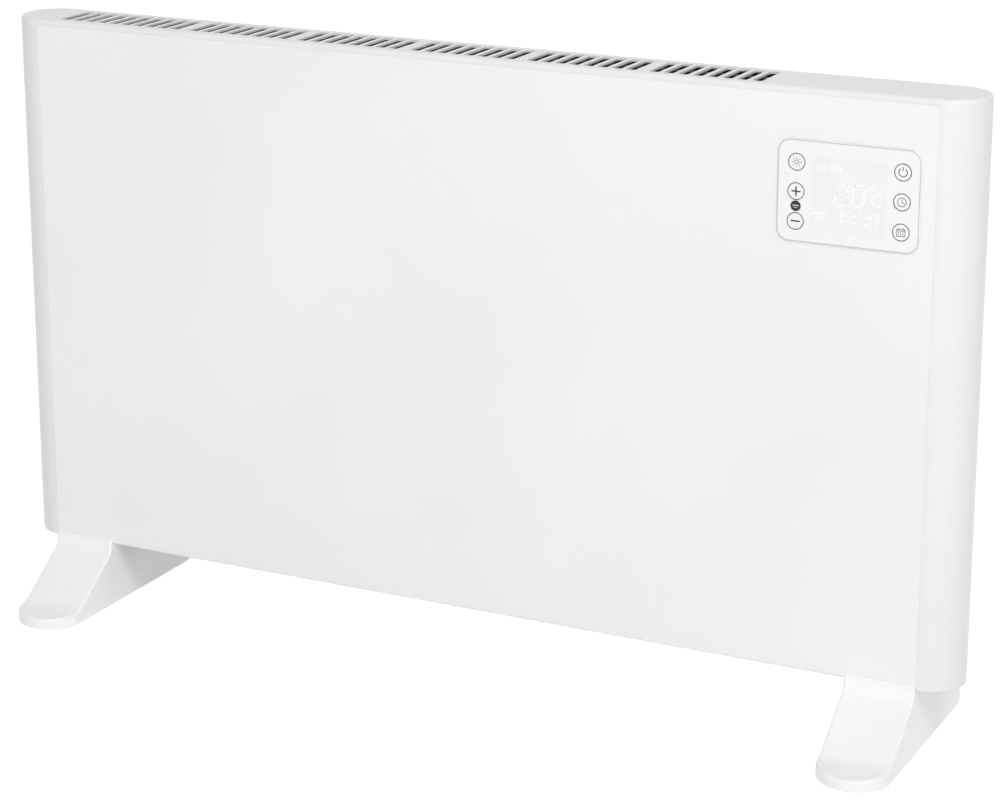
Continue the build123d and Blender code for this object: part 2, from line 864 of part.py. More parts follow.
window_back = -half_depth - gasket_thickness
spigot_end = front_inside + spigot_depth
spigot_size = (
    window_width - 2 * window_overlap,
    window_height - 2 * window_overlap,
    window_corner - window_overlap,
)
stud_places = [
    (
        bay_x + across * (display_plate_width / 2 - stud_inset_side),
        window_z + up * (display_plate_height / 2 - stud_inset_end),
    )
    for across in (-1, 1)
    for up in (-1, 1)
]
holder_back = front_inside + display_plate_thickness
display_board_front = front_inside + display_boss_length
display_board_back = display_board_front + board_thickness
key_places = [
    (bay_x + key_column_shift + side * key_column_spacing / 2, window_z + height)
    for side in (-1, 1)
    for height in key_heights
]


def slab(front, rear, width, height, corner, mode=Mode.ADD):
    """A rounded slab centred on the control window, between two depths."""
    with BuildSketch(Plane.XZ.offset(-rear), mode=Mode.PRIVATE) as outline:
        with Locations((bay_x, window_z)):
            RectangleRounded(width, height, corner)
    extrude(outline.sketch, amount=rear - front, mode=mode)


with BuildPart() as touch_window:
    slab(window_back - window_thickness, window_back, window_width, window_height, window_corner)
    chamfer(touch_window.faces().sort_by(Axis.Y)[0].edges(), window_chamfer)
    slab(window_back, spigot_end, *spigot_size)
touch_window.part.label = "touch_window"
export_step(touch_window.part, "parts/touch_window.step")

with BuildPart() as window_gasket:
    slab(
        window_back,
        -half_depth,
        window_width - gasket_inset,
        window_height - gasket_inset,
        window_corner - gasket_inset / 2,
    )
    slab(window_back, -half_depth, *spigot_size, Mode.SUBTRACT)
window_gasket.part.label = "window_gasket"
export_step(window_gasket.part, "parts/window_gasket.step")

with BuildPart() as display_studs:
    for x, z in stud_places:
        rod((x, front_inside, z), (0, 1, 0), display_stud_length, stud_radius)
display_studs.part.label = "display_studs"
export_step(display_studs.part, "parts/display_studs.step")

with BuildPart() as display_holder:
    slab(front_inside, holder_back, display_plate_width, display_plate_height, board_corner)
    slab(front_inside, holder_back, *[size + fit_gap for size in spigot_size], Mode.SUBTRACT)
    for x, z in stud_places:
        rod((x, front_inside, z), (0, 1, 0), display_boss_length, display_boss_radius)
    for x, z in stud_places:
        rod((x, front_inside, z), (0, 1, 0), display_boss_length, stud_radius + fit_gap, Mode.SUBTRACT)
display_holder.part.label = "display_holder"
export_step(display_holder.part, "parts/display_holder.step")

with BuildPart() as display_board:
    slab(display_board_front, display_board_back, display_board_width, display_board_height, board_corner)
    for x, z in stud_places:
        rod((x, display_board_front, z), (0, 1, 0), board_thickness, stud_radius + fit_gap, Mode.SUBTRACT)
display_board.part.label = "display_board"
export_step(display_board.part, "parts/display_board.step")

with BuildPart() as display_nuts:
    for x, z in stud_places:
        hexagon((x, display_board_back, z), (0, 1, 0), stud_nut_height, stud_nut_flats)
        rod((x, display_board_back, z), (0, 1, 0), stud_nut_height, stud_radius, Mode.SUBTRACT)
display_nuts.part.label = "display_nuts"
export_step(display_nuts.part, "parts/display_nuts.step")

with BuildPart() as display_module:
    block(
        (bay_x - module_width / 2, spigot_end, window_z - module_height / 2),
        (bay_x + module_width / 2, display_board_front, window_z + module_height / 2),
    )
display_module.part.label = "display_module"
export_step(display_module.part, "parts/display_module.step")

with BuildPart() as touch_pads:
    for x, z in key_places:
        rod((x, spigot_end, z), (0, 1, 0), display_board_front - spigot_end, touch_pad_radius)
touch_pads.part.label = "touch_pads"
export_step(touch_pads.part, "parts/touch_pads.step")

with BuildPart() as buzzer:
    buzzer_base = (bay_x + buzzer_place[0], display_board_back, window_z + buzzer_place[1])
    rod(buzzer_base, (0, 1, 0), buzzer_height, buzzer_radius)
    buzzer_mouth = (buzzer_base[0], display_board_back + buzzer_height, buzzer_base[2])
    rod(buzzer_mouth, (0, -1, 0), buzzer_hole_radius, buzzer_hole_radius, Mode.SUBTRACT)
buzzer.part.label = "buzzer"
export_step(buzzer.part, "parts/buzzer.step")

with BuildPart() as wireless_module:
    wireless_x = bay_x + wireless_place[0]
    wireless_z = window_z + wireless_place[1]
    block(
        (wireless_x - wireless_width / 2, display_board_back, wireless_z - wireless_height / 2),
        (
            wireless_x + wireless_width / 2,
            display_board_back + wireless_thickness,
            wireless_z + wireless_height / 2,
        ),
    )
wireless_module.part.label = "wireless_module"
export_step(wireless_module.part, "parts/wireless_module.step")

# ------------------------------------------------------------------------- power board

power_board_z = body_bottom + power_board_rise
board_top = power_board_z + power_board_height / 2
board_bottom = power_board_z - power_board_height / 2
board_rear = rear_inside - standoff_height
board_face = board_rear - board_thickness
standoff_places = [
    (
        bay_x + across * (power_board_width / 2 - standoff_inset),
        power_board_z + up * (power_board_height / 2 - standoff_inset),
    )
    for across in (-1, 1)
    for up in (-1, 1)
]


def on_board(place, size, mode=Mode.ADD):
    """A block that stands on the front face of the power board."""
    x = bay_x + place[0]
    z = power_board_z + place[1]
    block(
        (x - size[0] / 2, board_face - size[1], z - size[2] / 2),
        (x + size[0] / 2, board_face, z + size[2] / 2),
        mode,
    )


with BuildPart() as power_board:
    block(
        (bay_x - power_board_width / 2, board_face, board_bottom),
        (bay_x + power_board_width / 2, board_rear, board_top),
    )
    fillet(power_board.edges().filter_by(Axis.Y), board_corner)
    for x, z in standoff_places:
        rod((x, board_face, z), (0, 1, 0), board_thickness, pilot_radius, Mode.SUBTRACT)
power_board.part.label = "power_board"
export_step(power_board.part, "parts/power_board.step")

with BuildPart() as board_standoffs:
    for x, z in standoff_places:
        hexagon((x, board_rear, z), (0, 1, 0), standoff_height, standoff_flats)
        rod((x, board_rear, z), (0, 1, 0), standoff_height, pilot_radius, Mode.SUBTRACT)
board_standoffs.part.label = "board_standoffs"
export_step(board_standoffs.part, "parts/board_standoffs.step")

board_screw = screw(board_screw_length, small_shank_radius, small_head_radius, small_head_height)
with BuildPart() as board_screws:
    with Locations(*[Plane(origin=(x, board_face, z), z_dir=(0, 1, 0)) for x, z in standoff_places]):
        add(board_screw)
board_screws.part.label = "board_screws"
export_step(board_screws.part, "parts/board_screws.step")

with BuildPart() as relays:
    relay_shift = (relay_size[0] + relay_gap) / 2
    for side in (-1, 1):
        on_board((relay_place[0] + side * relay_shift, relay_place[1]), relay_size)
    chamfer(relays.edges().filter_by(Axis.Y), relay_gap)
relays.part.label = "relays"
export_step(relays.part, "parts/relays.step")

with BuildPart() as transformer:
    width, depth, length = transformer_size
    on_board(transformer_place, (width, depth, transformer_core_length))
    on_board(
        transformer_place,
        (width - 2 * transformer_winding_inset, depth - transformer_winding_inset, length),
    )
transformer.part.label = "transformer"
export_step(transformer.part, "parts/transformer.step")

with BuildPart() as capacitors:
    for index in (-1, 0, 1):
        capacitor_x = bay_x + capacitor_place[0] + index * capacitor_pitch
        capacitor_z = power_board_z + capacitor_place[1]
        rod((capacitor_x, board_face, capacitor_z), (0, -1, 0), capacitor_height, capacitor_radius)
    on_board(film_capacitor_place, film_capacitor_size)
capacitors.part.label = "capacitors"
export_step(capacitors.part, "parts/capacitors.step")

with BuildPart() as filter_choke:
    choke_base = (bay_x + choke_place[0], board_face, power_board_z + choke_place[1])
    rod(choke_base, (0, -1, 0), choke_base_thickness, choke_radius + choke_core_radius)
    choke_lift = choke_base_thickness + choke_core_radius - choke_sink
    with Locations(Plane(origin=choke_base, z_dir=(0, -1, 0)).offset(choke_lift)):
        Torus(choke_radius, choke_core_radius)
filter_choke.part.label = "filter_choke"
export_step(filter_choke.part, "parts/filter_choke.step")

with BuildPart() as board_fuse:
    fuse_end = bay_x + fuse_place[0] - fuse_length / 2
    fuse_y = board_face - fuse_axis_height
    fuse_z = power_board_z + fuse_place[1]
    rod((fuse_end, fuse_y, fuse_z), (1, 0, 0), fuse_length, fuse_radius)
    for start in (fuse_end, fuse_end + fuse_length - fuse_cap_length):
        rod((start, fuse_y, fuse_z), (1, 0, 0), fuse_cap_length, fuse_radius + fuse_cap_thickness)
        block(
            (start, fuse_y, fuse_z - fuse_radius),
            (start + fuse_cap_length, board_face, fuse_z + fuse_radius),
        )
board_fuse.part.label = "board_fuse"
export_step(board_fuse.part, "parts/board_fuse.step")

with BuildPart() as triac_heatsink:
    width, depth, length = heatsink_size
    on_board(heatsink_place, (width, heatsink_base, length))
    fin_pitch = (width - heatsink_fin) / (heatsink_fins - 1)
    for index in range(heatsink_fins):
        fin_place = heatsink_place[0] - (width - heatsink_fin) / 2 + index * fin_pitch
        on_board((fin_place, heatsink_place[1]), (heatsink_fin, depth, length))
triac_heatsink.part.label = "triac_heatsink"
export_step(triac_heatsink.part, "parts/triac_heatsink.step")

ribbon_x = bay_x - power_board_width / 2 + header_inset
header_y = board_face - header_size[1] / 2
display_header_y = display_board_back + header_size[1] / 2
display_board_bottom = window_z - display_board_height / 2
mains_header_x = bay_x + mains_header_offset
sensor_header_x = bay_x + sensor_header_offset
thermostat_header_x = bay_x + thermostat_header_place[0]
thermostat_header_z = power_board_z + thermostat_header_place[1]
element_header_x = bay_x + element_header_place[0]
element_header_z = power_board_z + element_header_place[1]


def header(middle, opening):
    """A socket on a board, with a pocket that goes in from its open side."""
    low = [centre - size / 2 for centre, size in zip(middle, header_size)]
    high = [centre + size / 2 for centre, size in zip(middle, header_size)]
    block(low, high)
    pocket_low = [edge + header_wall for edge in low]
    pocket_high = [edge - header_wall for edge in high]
    for axis, side in enumerate(opening):
        if side > 0:
            pocket_low[axis] = high[axis] - header_pocket
            pocket_high[axis] = high[axis]
        if side < 0:
            pocket_low[axis] = low[axis]
            pocket_high[axis] = low[axis] + header_pocket
    block(pocket_low, pocket_high, Mode.SUBTRACT)


with BuildPart() as board_connectors:
    header((ribbon_x, header_y, board_top - header_size[2] / 2), (0, 0, 1))
    header((ribbon_x, display_header_y, display_board_bottom + header_size[2] / 2), (0, 0, -1))
    header((mains_header_x, header_y, board_bottom + header_size[2] / 2), (0, 0, -1))
    header((sensor_header_x, header_y, board_bottom + header_size[2] / 2), (0, 0, -1))
    header((thermostat_header_x, header_y, thermostat_header_z), (-1, 0, 0))
    header((element_header_x, header_y, element_header_z), (-1, 0, 0))
board_connectors.part.label = "board_connectors"
export_step(board_connectors.part, "parts/board_connectors.step")

# ------------------------------------------------------------------------ mains inlet

terminal_block_top = tray_floor + terminal_block_size[2]
terminal_block_y = -terminal_block_setback
wire_y = terminal_block_y - wire_setback
pole_places = [bay_x + index * terminal_block_pitch for index in (-1, 0, 1)]

with BuildPart() as mains_terminal_block:
    width, depth, height = terminal_block_size
    block(
        (bay_x - width / 2, terminal_block_y - depth / 2, tray_floor),
        (bay_x + width / 2, terminal_block_y + depth / 2, terminal_block_top),
    )
    for x in pole_places[:-1]:
        middle = x + terminal_block_pitch / 2
        block(
            (middle - terminal_block_groove, terminal_block_y - depth / 2, terminal_block_top - socket_depth),
            (middle + terminal_block_groove, terminal_block_y + depth / 2, terminal_block_top),
            Mode.SUBTRACT,
        )
    for x in pole_places:
        rod((x, wire_y, terminal_block_top), (0, 0, -1), socket_depth, lead_diameter / 2, Mode.SUBTRACT)
        rod(
            (x, wire_y + terminal_block_well_setback, terminal_block_top),
            (0, 0, -1),
            terminal_block_well_depth,
            terminal_block_well_radius,
            Mode.SUBTRACT,
        )
        rod(
            (x, terminal_block_y + depth / 2, tray_floor + height / 2),
            (0, -1, 0),
            socket_depth,
            terminal_block_well_radius,
            Mode.SUBTRACT,
        )
mains_terminal_block.part.label = "mains_terminal_block"
export_step(mains_terminal_block.part, "parts/mains_terminal_block.step")

with BuildPart() as cord_gland:
    gland_end = rear_inside - gland_inside
    gland_face = half_depth + gland_flange_thickness
    rod((bay_x, half_depth, gland_z), (0, 1, 0), gland_flange_thickness, gland_flange_radius)
    fillet(cord_gland.edges().sort_by(Axis.Y)[-1], sheet)
    rod((bay_x, gland_end, gland_z), (0, 1, 0), half_depth - gland_end, gland_body_radius)
    hexagon((bay_x, rear_inside, gland_z), (0, -1, 0), gland_nut_height, gland_nut_flats)
    rod(
        (bay_x, gland_end, gland_z),
        (0, 1, 0),
        gland_face - gland_end,
        gland_bore_radius,
        Mode.SUBTRACT,
    )
cord_gland.part.label = "cord_gland"
export_step(cord_gland.part, "parts/cord_gland.step")

# --------------------------------------------------------------------- heating element

rod_left = bracket_left - rod_reach
rod_right = bracket_right + bracket_thickness + rod_reach
bracket_faces = ((-1, bracket_left), (1, bracket_right + bracket_thickness))

with BuildPart() as element_fins:
    with BuildSketch(Plane.YZ.offset(element_left)) as fin_section:
        with Locations((0, element_z)):
            Circle(hub_radius)
        for angle in (arm_angle, 180 - arm_angle, 180 + arm_angle, -arm_angle):
            with Locations(Location((0, element_z, 0), (0, 0, angle))):
                Rectangle(arm_length, arm_thickness, align=(Align.MIN, Align.CENTER))
                with Locations(*[(place, 0) for place in finlet_places]):
                    Rectangle(finlet_thickness, finlet_length)
        with Locations((0, element_z)):
            Circle(rod_radius, mode=Mode.SUBTRACT)
    extrude(amount=element_right - element_left)
element_fins.part.label = "element_fins"
export_step(element_fins.part, "parts/element_fins.step")

with BuildPart() as element_tube:
    rod((rod_left, 0, element_z), (1, 0, 0), rod_right - rod_left, rod_radius)
element_tube.part.label = "element_tube"
export_step(element_tube.part, "parts/element_tube.step")

with BuildPart() as element_insulators:
    for side, face in bracket_faces:
        rod((face, 0, element_z), (side, 0, 0), bush_flange_thickness, bush_flange_radius)
        rod((face, 0, element_z), (-side, 0, 0), bush_length, bush_radius)
        rod(
            (face - side * bush_length, 0, element_z),
            (side, 0, 0),
            bush_length + bush_flange_thickness,
            rod_radius,
            Mode.SUBTRACT,
        )
element_insulators.part.label = "element_insulators"
export_step(element_insulators.part, "parts/element_insulators.step")

with BuildPart() as element_terminals:
    for side, end in ((-1, rod_left), (1, rod_right)):
        nut_face = end + side * tab_thickness
        rod((end, 0, element_z), (side, 0, 0), terminal_length, terminal_radius)
        block(
            (min(end, nut_face), -tab_width / 2, element_z - tab_width / 2),
            (max(end, nut_face), tab_width / 2, element_z + terminal_tab_rise),
        )
        hexagon((nut_face, 0, element_z), (side, 0, 0), terminal_nut_height, terminal_nut_flats)
element_terminals.part.label = "element_terminals"
export_step(element_terminals.part, "parts/element_terminals.step")

with BuildPart() as element_brackets:
    for side, face in bracket_faces:
        inner = face - side * bracket_thickness
        flange_end = inner + side * bracket_flange
        block(
            (min(face, inner), -bracket_front, bracket_low),
            (max(face, inner), rear_inside, bracket_high),
        )
        block(
            (min(inner, flange_end), rear_inside - bracket_thickness, bracket_low),
            (max(inner, flange_end), rear_inside, bracket_high),
        )
        rod((face, 0, element_z), (-side, 0, 0), bracket_thickness, bush_radius, Mode.SUBTRACT)
    for x in bracket_screw_xs:
        for z in bracket_screw_heights:
            rod((x, rear_inside, z), (0, -1, 0), bracket_thickness, pilot_radius, Mode.SUBTRACT)
element_brackets.part.label = "element_brackets"
export_step(element_brackets.part, "parts/element_brackets.step")

shield_back = rear_inside - shield_space
shield_low = element_z - shield_below
shield_high = element_z + shield_above

with BuildPart() as heat_shield:
    extrude(
        folded_sheet(
            (bracket_right, shield_back - shield_flange),
            (bracket_right, shield_back),
            (bracket_left + bracket_thickness, shield_back),
            (bracket_left + bracket_thickness, shield_back - shield_flange),
            place=Plane.XY.offset(shield_low),
            radius=sheet,
            thickness=shield_thickness,
        ),
        amount=shield_high - shield_low,
    )
heat_shield.part.label = "heat_shield"
export_step(heat_shield.part, "parts/heat_shield.step")

# ------------------------------------------------------------------- control partition

partition_face = partition_x + sheet
partition_top = shell_top - partition_top_gap
partition_step = tray_rim + sheet
grommet_z = body_bottom + grommet_rise
thermostat_z = body_bottom + thermostat_rise
thermal_fuse_z = body_bottom + thermal_fuse_rise
thermal_fuse_x = partition_x - fuse_clip_wall
tip_low = tip_z - tip_drop
tip_high = tip_z + tip_head
tip_ear_heights = (tip_low - tip_ear / 2, tip_high + tip_ear / 2)

with BuildPart() as control_partition:
    block(
        (partition_x, front_inside + bend_radius, tray_floor),
        (partition_face, rear_inside - bend_radius, partition_top),
    )
    block(
        (partition_x, front_inside + fit_gap, partition_step),
        (partition_face, rear_inside, partition_top),
    )
    block(
        (partition_x, rear_inside - sheet, partition_step),
        (partition_x + partition_flange, rear_inside, partition_top),
    )
    block(
        (partition_x, bottom_flange - half_depth, tray_floor),
        (partition_x + partition_flange, half_depth - bottom_flange, tray_floor + sheet),
    )
    with BuildSketch(Plane.YZ.offset(partition_x)) as partition_holes:
        with Locations((0, grommet_z)):
            Circle(grommet_hole_radius)
        with Locations((0, thermostat_z)):
            Circle(thermostat_radius + fit_gap)
            with GridLocations(thermostat_hole_spacing, 0, 2, 1):
                Circle(pilot_radius)
        with Locations((0, thermal_fuse_z), *[(0, z) for z in tip_ear_heights]):
            Circle(pilot_radius)
    extrude(amount=sheet, mode=Mode.SUBTRACT)
    for z in partition_screw_heights:
        rod((partition_screw_x, rear_inside, z), (0, -1, 0), sheet, pilot_radius, Mode.SUBTRACT)
control_partition.part.label = "control_partition"
export_step(control_partition.part, "parts/control_partition.step")

with BuildPart() as partition_grommet:
    rod((partition_x, 0, grommet_z), (1, 0, 0), sheet, grommet_hole_radius)
    for start, side in ((partition_x, -1), (partition_face, 1)):
        rod((start, 0, grommet_z), (side, 0, 0), rim_thickness, grommet_hole_radius + grommet_rim)
    rod(
        (partition_x - rim_thickness, 0, grommet_z),
        (1, 0, 0),
        sheet + 2 * rim_thickness,
        grommet_bore_radius,
        Mode.SUBTRACT,
    )
partition_grommet.part.label = "partition_grommet"
export_step(partition_grommet.part, "parts/partition_grommet.step")

thermostat_flange_face = partition_face + thermostat_flange_thickness
thermostat_back = thermostat_flange_face + thermostat_body_height
thermostat_tab_heights = (
    thermostat_z - thermostat_tab_spacing / 2,
    thermostat_z + thermostat_tab_spacing / 2,
)

with BuildPart() as overheat_thermostat:
    cap_face = partition_face - thermostat_cap_height
    rod((cap_face, 0, thermostat_z), (1, 0, 0), thermostat_cap_height, thermostat_radius)
    with BuildSketch(Plane.YZ.offset(partition_face)) as thermostat_flange:
        with Locations((0, thermostat_z)):
            Circle(thermostat_radius)
            SlotCenterToCenter(thermostat_hole_spacing, 2 * thermostat_ear_radius)
            with GridLocations(thermostat_hole_spacing, 0, 2, 1):
                Circle(pilot_radius, mode=Mode.SUBTRACT)
    extrude(amount=thermostat_flange_thickness)
    rod(
        (thermostat_flange_face, 0, thermostat_z),
        (1, 0, 0),
        thermostat_body_height,
        thermostat_body_radius,
    )
    for z in thermostat_tab_heights:
        block(
            (thermostat_back, -tab_width / 2, z - tab_thickness / 2),
            (thermostat_back + tab_length, tab_width / 2, z + tab_thickness / 2),
        )
overheat_thermostat.part.label = "overheat_thermostat"
export_step(overheat_thermostat.part, "parts/overheat_thermostat.step")

thermal_fuse_low = thermal_fuse_z - thermal_fuse_length / 2

with BuildPart() as thermal_fuse:
    rod((thermal_fuse_x, 0, thermal_fuse_low), (0, 0, 1), thermal_fuse_length, thermal_fuse_radius)
thermal_fuse.part.label = "thermal_fuse"
export_step(thermal_fuse.part, "parts/thermal_fuse.step")

with BuildPart() as fuse_clip:
    half_clip = fuse_clip_size / 2
    block(
        (thermal_fuse_x - half_clip, -half_clip, thermal_fuse_z - half_clip),
        (partition_x, half_clip, thermal_fuse_z + half_clip),
    )
    rod(
        (thermal_fuse_x, 0, thermal_fuse_low),
        (0, 0, 1),
        thermal_fuse_length,
        thermal_fuse_radius,
        Mode.SUBTRACT,
    )
    rod((partition_x, 0, thermal_fuse_z), (1, 0, 0), sheet + rim_thickness, small_shank_radius)
    rod((partition_face, 0, thermal_fuse_z), (1, 0, 0), rim_thickness, small_head_radius)
fuse_clip.part.label = "fuse_clip"
export_step(fuse_clip.part, "parts/fuse_clip.step")

with BuildPart() as room_sensor:
    rod(
        (sensor_x, -sensor_setback, tray_floor - sheet - sensor_tip),
        (0, 0, 1),
        sensor_length,
        sensor_radius,
    )
room_sensor.part.label = "room_sensor"
export_step(room_sensor.part, "parts/room_sensor.step")

with BuildPart() as sensor_clip:
    width, depth, height = sensor_clip_size
    block(
        (sensor_x - width / 2, -sensor_setback - depth / 2, tray_floor),
        (sensor_x + width / 2, -sensor_setback + depth / 2, tray_floor + height),
    )
    rod((sensor_x, -sensor_setback, tray_floor), (0, 0, 1), height, sensor_radius, Mode.SUBTRACT)
sensor_clip.part.label = "sensor_clip"
export_step(sensor_clip.part, "parts/sensor_clip.step")

# ------------------------------------------------------------------------- main switch

pivot_y = half_depth - rocker_pivot_depth
rocker_cavity = rocker_radius + rocker_gap
switch_half_x = rocker_width / 2 + rocker_gap + switch_wall
switch_half_z = rocker_cavity + switch_wall
switch_back = half_depth - switch_depth
bezel_face = half_depth + switch_bezel_thickness
switch_tab_heights = (switch_z - switch_tab_spacing / 2, switch_z + switch_tab_spacing / 2)

with BuildPart() as rocker_switch_body:
    block(
        (switch_x - switch_half_x, switch_back, switch_z - switch_half_z),
        (switch_x + switch_half_x, half_depth, switch_z + switch_half_z),
    )
    block(
        (switch_x - switch_half_x - switch_bezel, half_depth, switch_z - switch_half_z - switch_bezel),
        (switch_x + switch_half_x + switch_bezel, bezel_face, switch_z + switch_half_z + switch_bezel),
    )
    chamfer(rocker_switch_body.faces().sort_by(Axis.Y)[-1].edges(), switch_bezel_thickness / 2)
    block(
        (switch_x - rocker_width / 2 - rocker_gap, pivot_y - rocker_cavity, switch_z - rocker_cavity),
        (switch_x + rocker_width / 2 + rocker_gap, bezel_face, switch_z + rocker_cavity),
        Mode.SUBTRACT,
    )
    rod(
        (switch_x - switch_half_x, pivot_y, switch_z),
        (1, 0, 0),
        2 * switch_half_x,
        rocker_stub_radius + running_gap,
        Mode.SUBTRACT,
    )
rocker_switch_body.part.label = "rocker_switch_body"
export_step(rocker_switch_body.part, "parts/rocker_switch_body.step")

tilt = math.radians(rocker_tilt)
facet_end = rocker_lift + rocker_radius * math.tan(tilt)

with BuildPart() as rocker:
    rocker_place = Plane(
        origin=(switch_x - rocker_width / 2, pivot_y, switch_z),
        x_dir=(0, math.cos(tilt), math.sin(tilt)),
        z_dir=(1, 0, 0),
    )
    with BuildSketch(rocker_place) as rocker_section:
        Circle(rocker_radius)
        with BuildLine():
            Polyline(
                (rocker_lift, 0),
                (facet_end, rocker_radius),
                (-rocker_under, rocker_radius),
                (-rocker_under, -rocker_radius),
                (facet_end, -rocker_radius),
                close=True,
            )
        make_face(mode=Mode.INTERSECT)
    extrude(amount=rocker_width)
    rod(
        (switch_x - rocker_width / 2 - rocker_stub_length, pivot_y, switch_z),
        (1, 0, 0),
        rocker_width + 2 * rocker_stub_length,
        rocker_stub_radius,
    )
rocker.part.label = "rocker"
export_step(rocker.part, "parts/rocker.step")

with BuildPart() as rocker_terminals:
    for z in switch_tab_heights:
        block(
            (switch_x - tab_width / 2, switch_back - tab_length, z - tab_thickness / 2),
            (switch_x + tab_width / 2, switch_back, z + tab_thickness / 2),
        )
rocker_terminals.part.label = "rocker_terminals"
export_step(rocker_terminals.part, "parts/rocker_terminals.step")

# ---------------------------------------------------------------------- tip-over switch

tip_inner = partition_face + tip_wall
tip_outer = tip_inner + bob_thickness + 2 * tip_gap
tip_face = tip_outer + tip_wall
bob_z = tip_z - bob_drop

with BuildPart() as tip_switch_housing:
    block((partition_face, -tip_half_depth, tip_low), (tip_face, tip_half_depth, tip_high))
    block(
        (partition_face, -tip_ear / 2, tip_low - tip_ear),
        (partition_face + tip_wall, tip_ear / 2, tip_high + tip_ear),
    )
    block(
        (tip_inner, -tip_half_depth + tip_wall, tip_low + tip_wall),
        (tip_outer, tip_half_depth - tip_wall, tip_high - tip_wall),
        Mode.SUBTRACT,
    )
    block(
        (tip_outer, -tip_window_width / 2, bob_z - tip_window_height / 2),
        (tip_face, tip_window_width / 2, bob_z + tip_window_height / 2),
        Mode.SUBTRACT,
    )
    rod((partition_face, 0, tip_z), (1, 0, 0), tip_face - partition_face, tip_pin_radius, Mode.SUBTRACT)
    for z in tip_ear_heights:
        rod((partition_face, 0, z), (1, 0, 0), tip_wall, pilot_radius, Mode.SUBTRACT)
tip_switch_housing.part.label = "tip_switch_housing"
export_step(tip_switch_housing.part, "parts/tip_switch_housing.step")

with BuildPart() as tip_switch_pendulum:
    start = tip_inner + tip_gap
    rod((start, 0, tip_z), (1, 0, 0), bob_thickness, pendulum_hub_radius)
    rod((start, 0, bob_z), (1, 0, 0), bob_thickness, bob_radius)
    arm_middle = start + bob_thickness / 2
    block(
        (arm_middle - pendulum_arm / 2, -pendulum_arm / 2, bob_z),
        (arm_middle + pendulum_arm / 2, pendulum_arm / 2, tip_z),
    )
    rod((start, 0, tip_z), (1, 0, 0), bob_thickness, tip_pin_radius + running_gap, Mode.SUBTRACT)
tip_switch_pendulum.part.label = "tip_switch_pendulum"
export_step(tip_switch_pendulum.part, "parts/tip_switch_pendulum.step")

with BuildPart() as tip_switch_pin:
    rod((partition_face, 0, tip_z), (1, 0, 0), tip_face - partition_face, tip_pin_radius)
    rod((tip_face, 0, tip_z), (1, 0, 0), tip_pin_head_height, tip_pin_head_radius)
tip_switch_pin.part.label = "tip_switch_pin"
export_step(tip_switch_pin.part, "parts/tip_switch_pin.step")

small_screw = screw(small_shank_length, small_shank_radius, small_head_radius, small_head_height)
into_partition = [
    (thermostat_flange_face, side * thermostat_hole_spacing / 2, thermostat_z) for side in (-1, 1)
] + [(partition_face + tip_wall, 0, z) for z in tip_ear_heights]
with BuildPart() as inner_screws:
    with Locations(*[Plane(origin=seat, z_dir=(-1, 0, 0)) for seat in into_partition]):
        add(small_screw)
    earth_seat = (earth_x, earth_y, tray_floor + earth_tag_thickness)
    with Locations(Plane(origin=earth_seat, z_dir=(0, 0, -1))):
        add(small_screw)
inner_screws.part.label = "inner_screws"
export_step(inner_screws.part, "parts/inner_screws.step")

# ------------------------------------------------------------------------------ wiring

socket_end = terminal_block_top - socket_depth
mains_pocket_end = board_bottom + header_pocket
switch_tab_end = switch_back - tab_length
wire_pitch = (header_size[0] - 2 * header_wall) / 2 - lead_diameter / 4
live_x, earth_pole_x, neutral_x = pole_places
live_turn_y = switch_tab_end - 8
below_board = board_bottom - 12

with BuildPart() as mains_leads:
    add(
        lead(
            [
                (live_x, wire_y, socket_end),
                (live_x, wire_y, terminal_block_top + 23),
                (switch_x, live_turn_y, switch_tab_heights[0] - 15),
                (switch_x, live_turn_y, switch_tab_heights[0]),
                (switch_x, switch_tab_end, switch_tab_heights[0]),
            ],
            lead_diameter,
        )
    )
    add(
        lead(
            [
                (switch_x, switch_tab_end, switch_tab_heights[1]),
                (switch_x, live_turn_y, switch_tab_heights[1]),
                (switch_x, live_turn_y, switch_tab_heights[1] + 22),
                (mains_header_x + wire_pitch / 2, header_y, below_board),
                (mains_header_x + wire_pitch / 2, header_y, mains_pocket_end),
            ],
            lead_diameter,
        )
    )
    add(
        lead(
            [
                (neutral_x, wire_y, socket_end),
                (neutral_x, wire_y, switch_tab_heights[1] + 17),
                (mains_header_x - wire_pitch / 2, header_y, below_board),
                (mains_header_x - wire_pitch / 2, header_y, mains_pocket_end),
            ],
            lead_diameter,
        )
    )
mains_leads.part.label = "mains_leads"
export_step(mains_leads.part, "parts/mains_leads.step")

tag_top = tray_floor + earth_tag_thickness
tag_end = earth_x + earth_tag_length
earth_drop_x = tag_end + earth_lead_run

with BuildPart() as earth_lead:
    with BuildSketch(Plane.XY.offset(tray_floor)) as earth_tag:
        with Locations((earth_x, earth_y)):
            Circle(earth_tag_radius)
            Rectangle(earth_tag_length, earth_tag_neck, align=(Align.MIN, Align.CENTER))
            Circle(pilot_radius, mode=Mode.SUBTRACT)
    extrude(amount=earth_tag_thickness)
    add(
        lead(
            [
                (earth_x + earth_tag_radius, earth_y, tag_top + lead_diameter / 2),
                (earth_drop_x, earth_y, tag_top + lead_diameter / 2),
                (earth_drop_x, earth_y, terminal_block_top + earth_lead_rise),
                (earth_pole_x, wire_y, terminal_block_top + earth_lead_rise),
                (earth_pole_x, wire_y, socket_end),
            ],
            lead_diameter,
        )
    )
earth_lead.part.label = "earth_lead"
export_step(earth_lead.part, "parts/earth_lead.step")

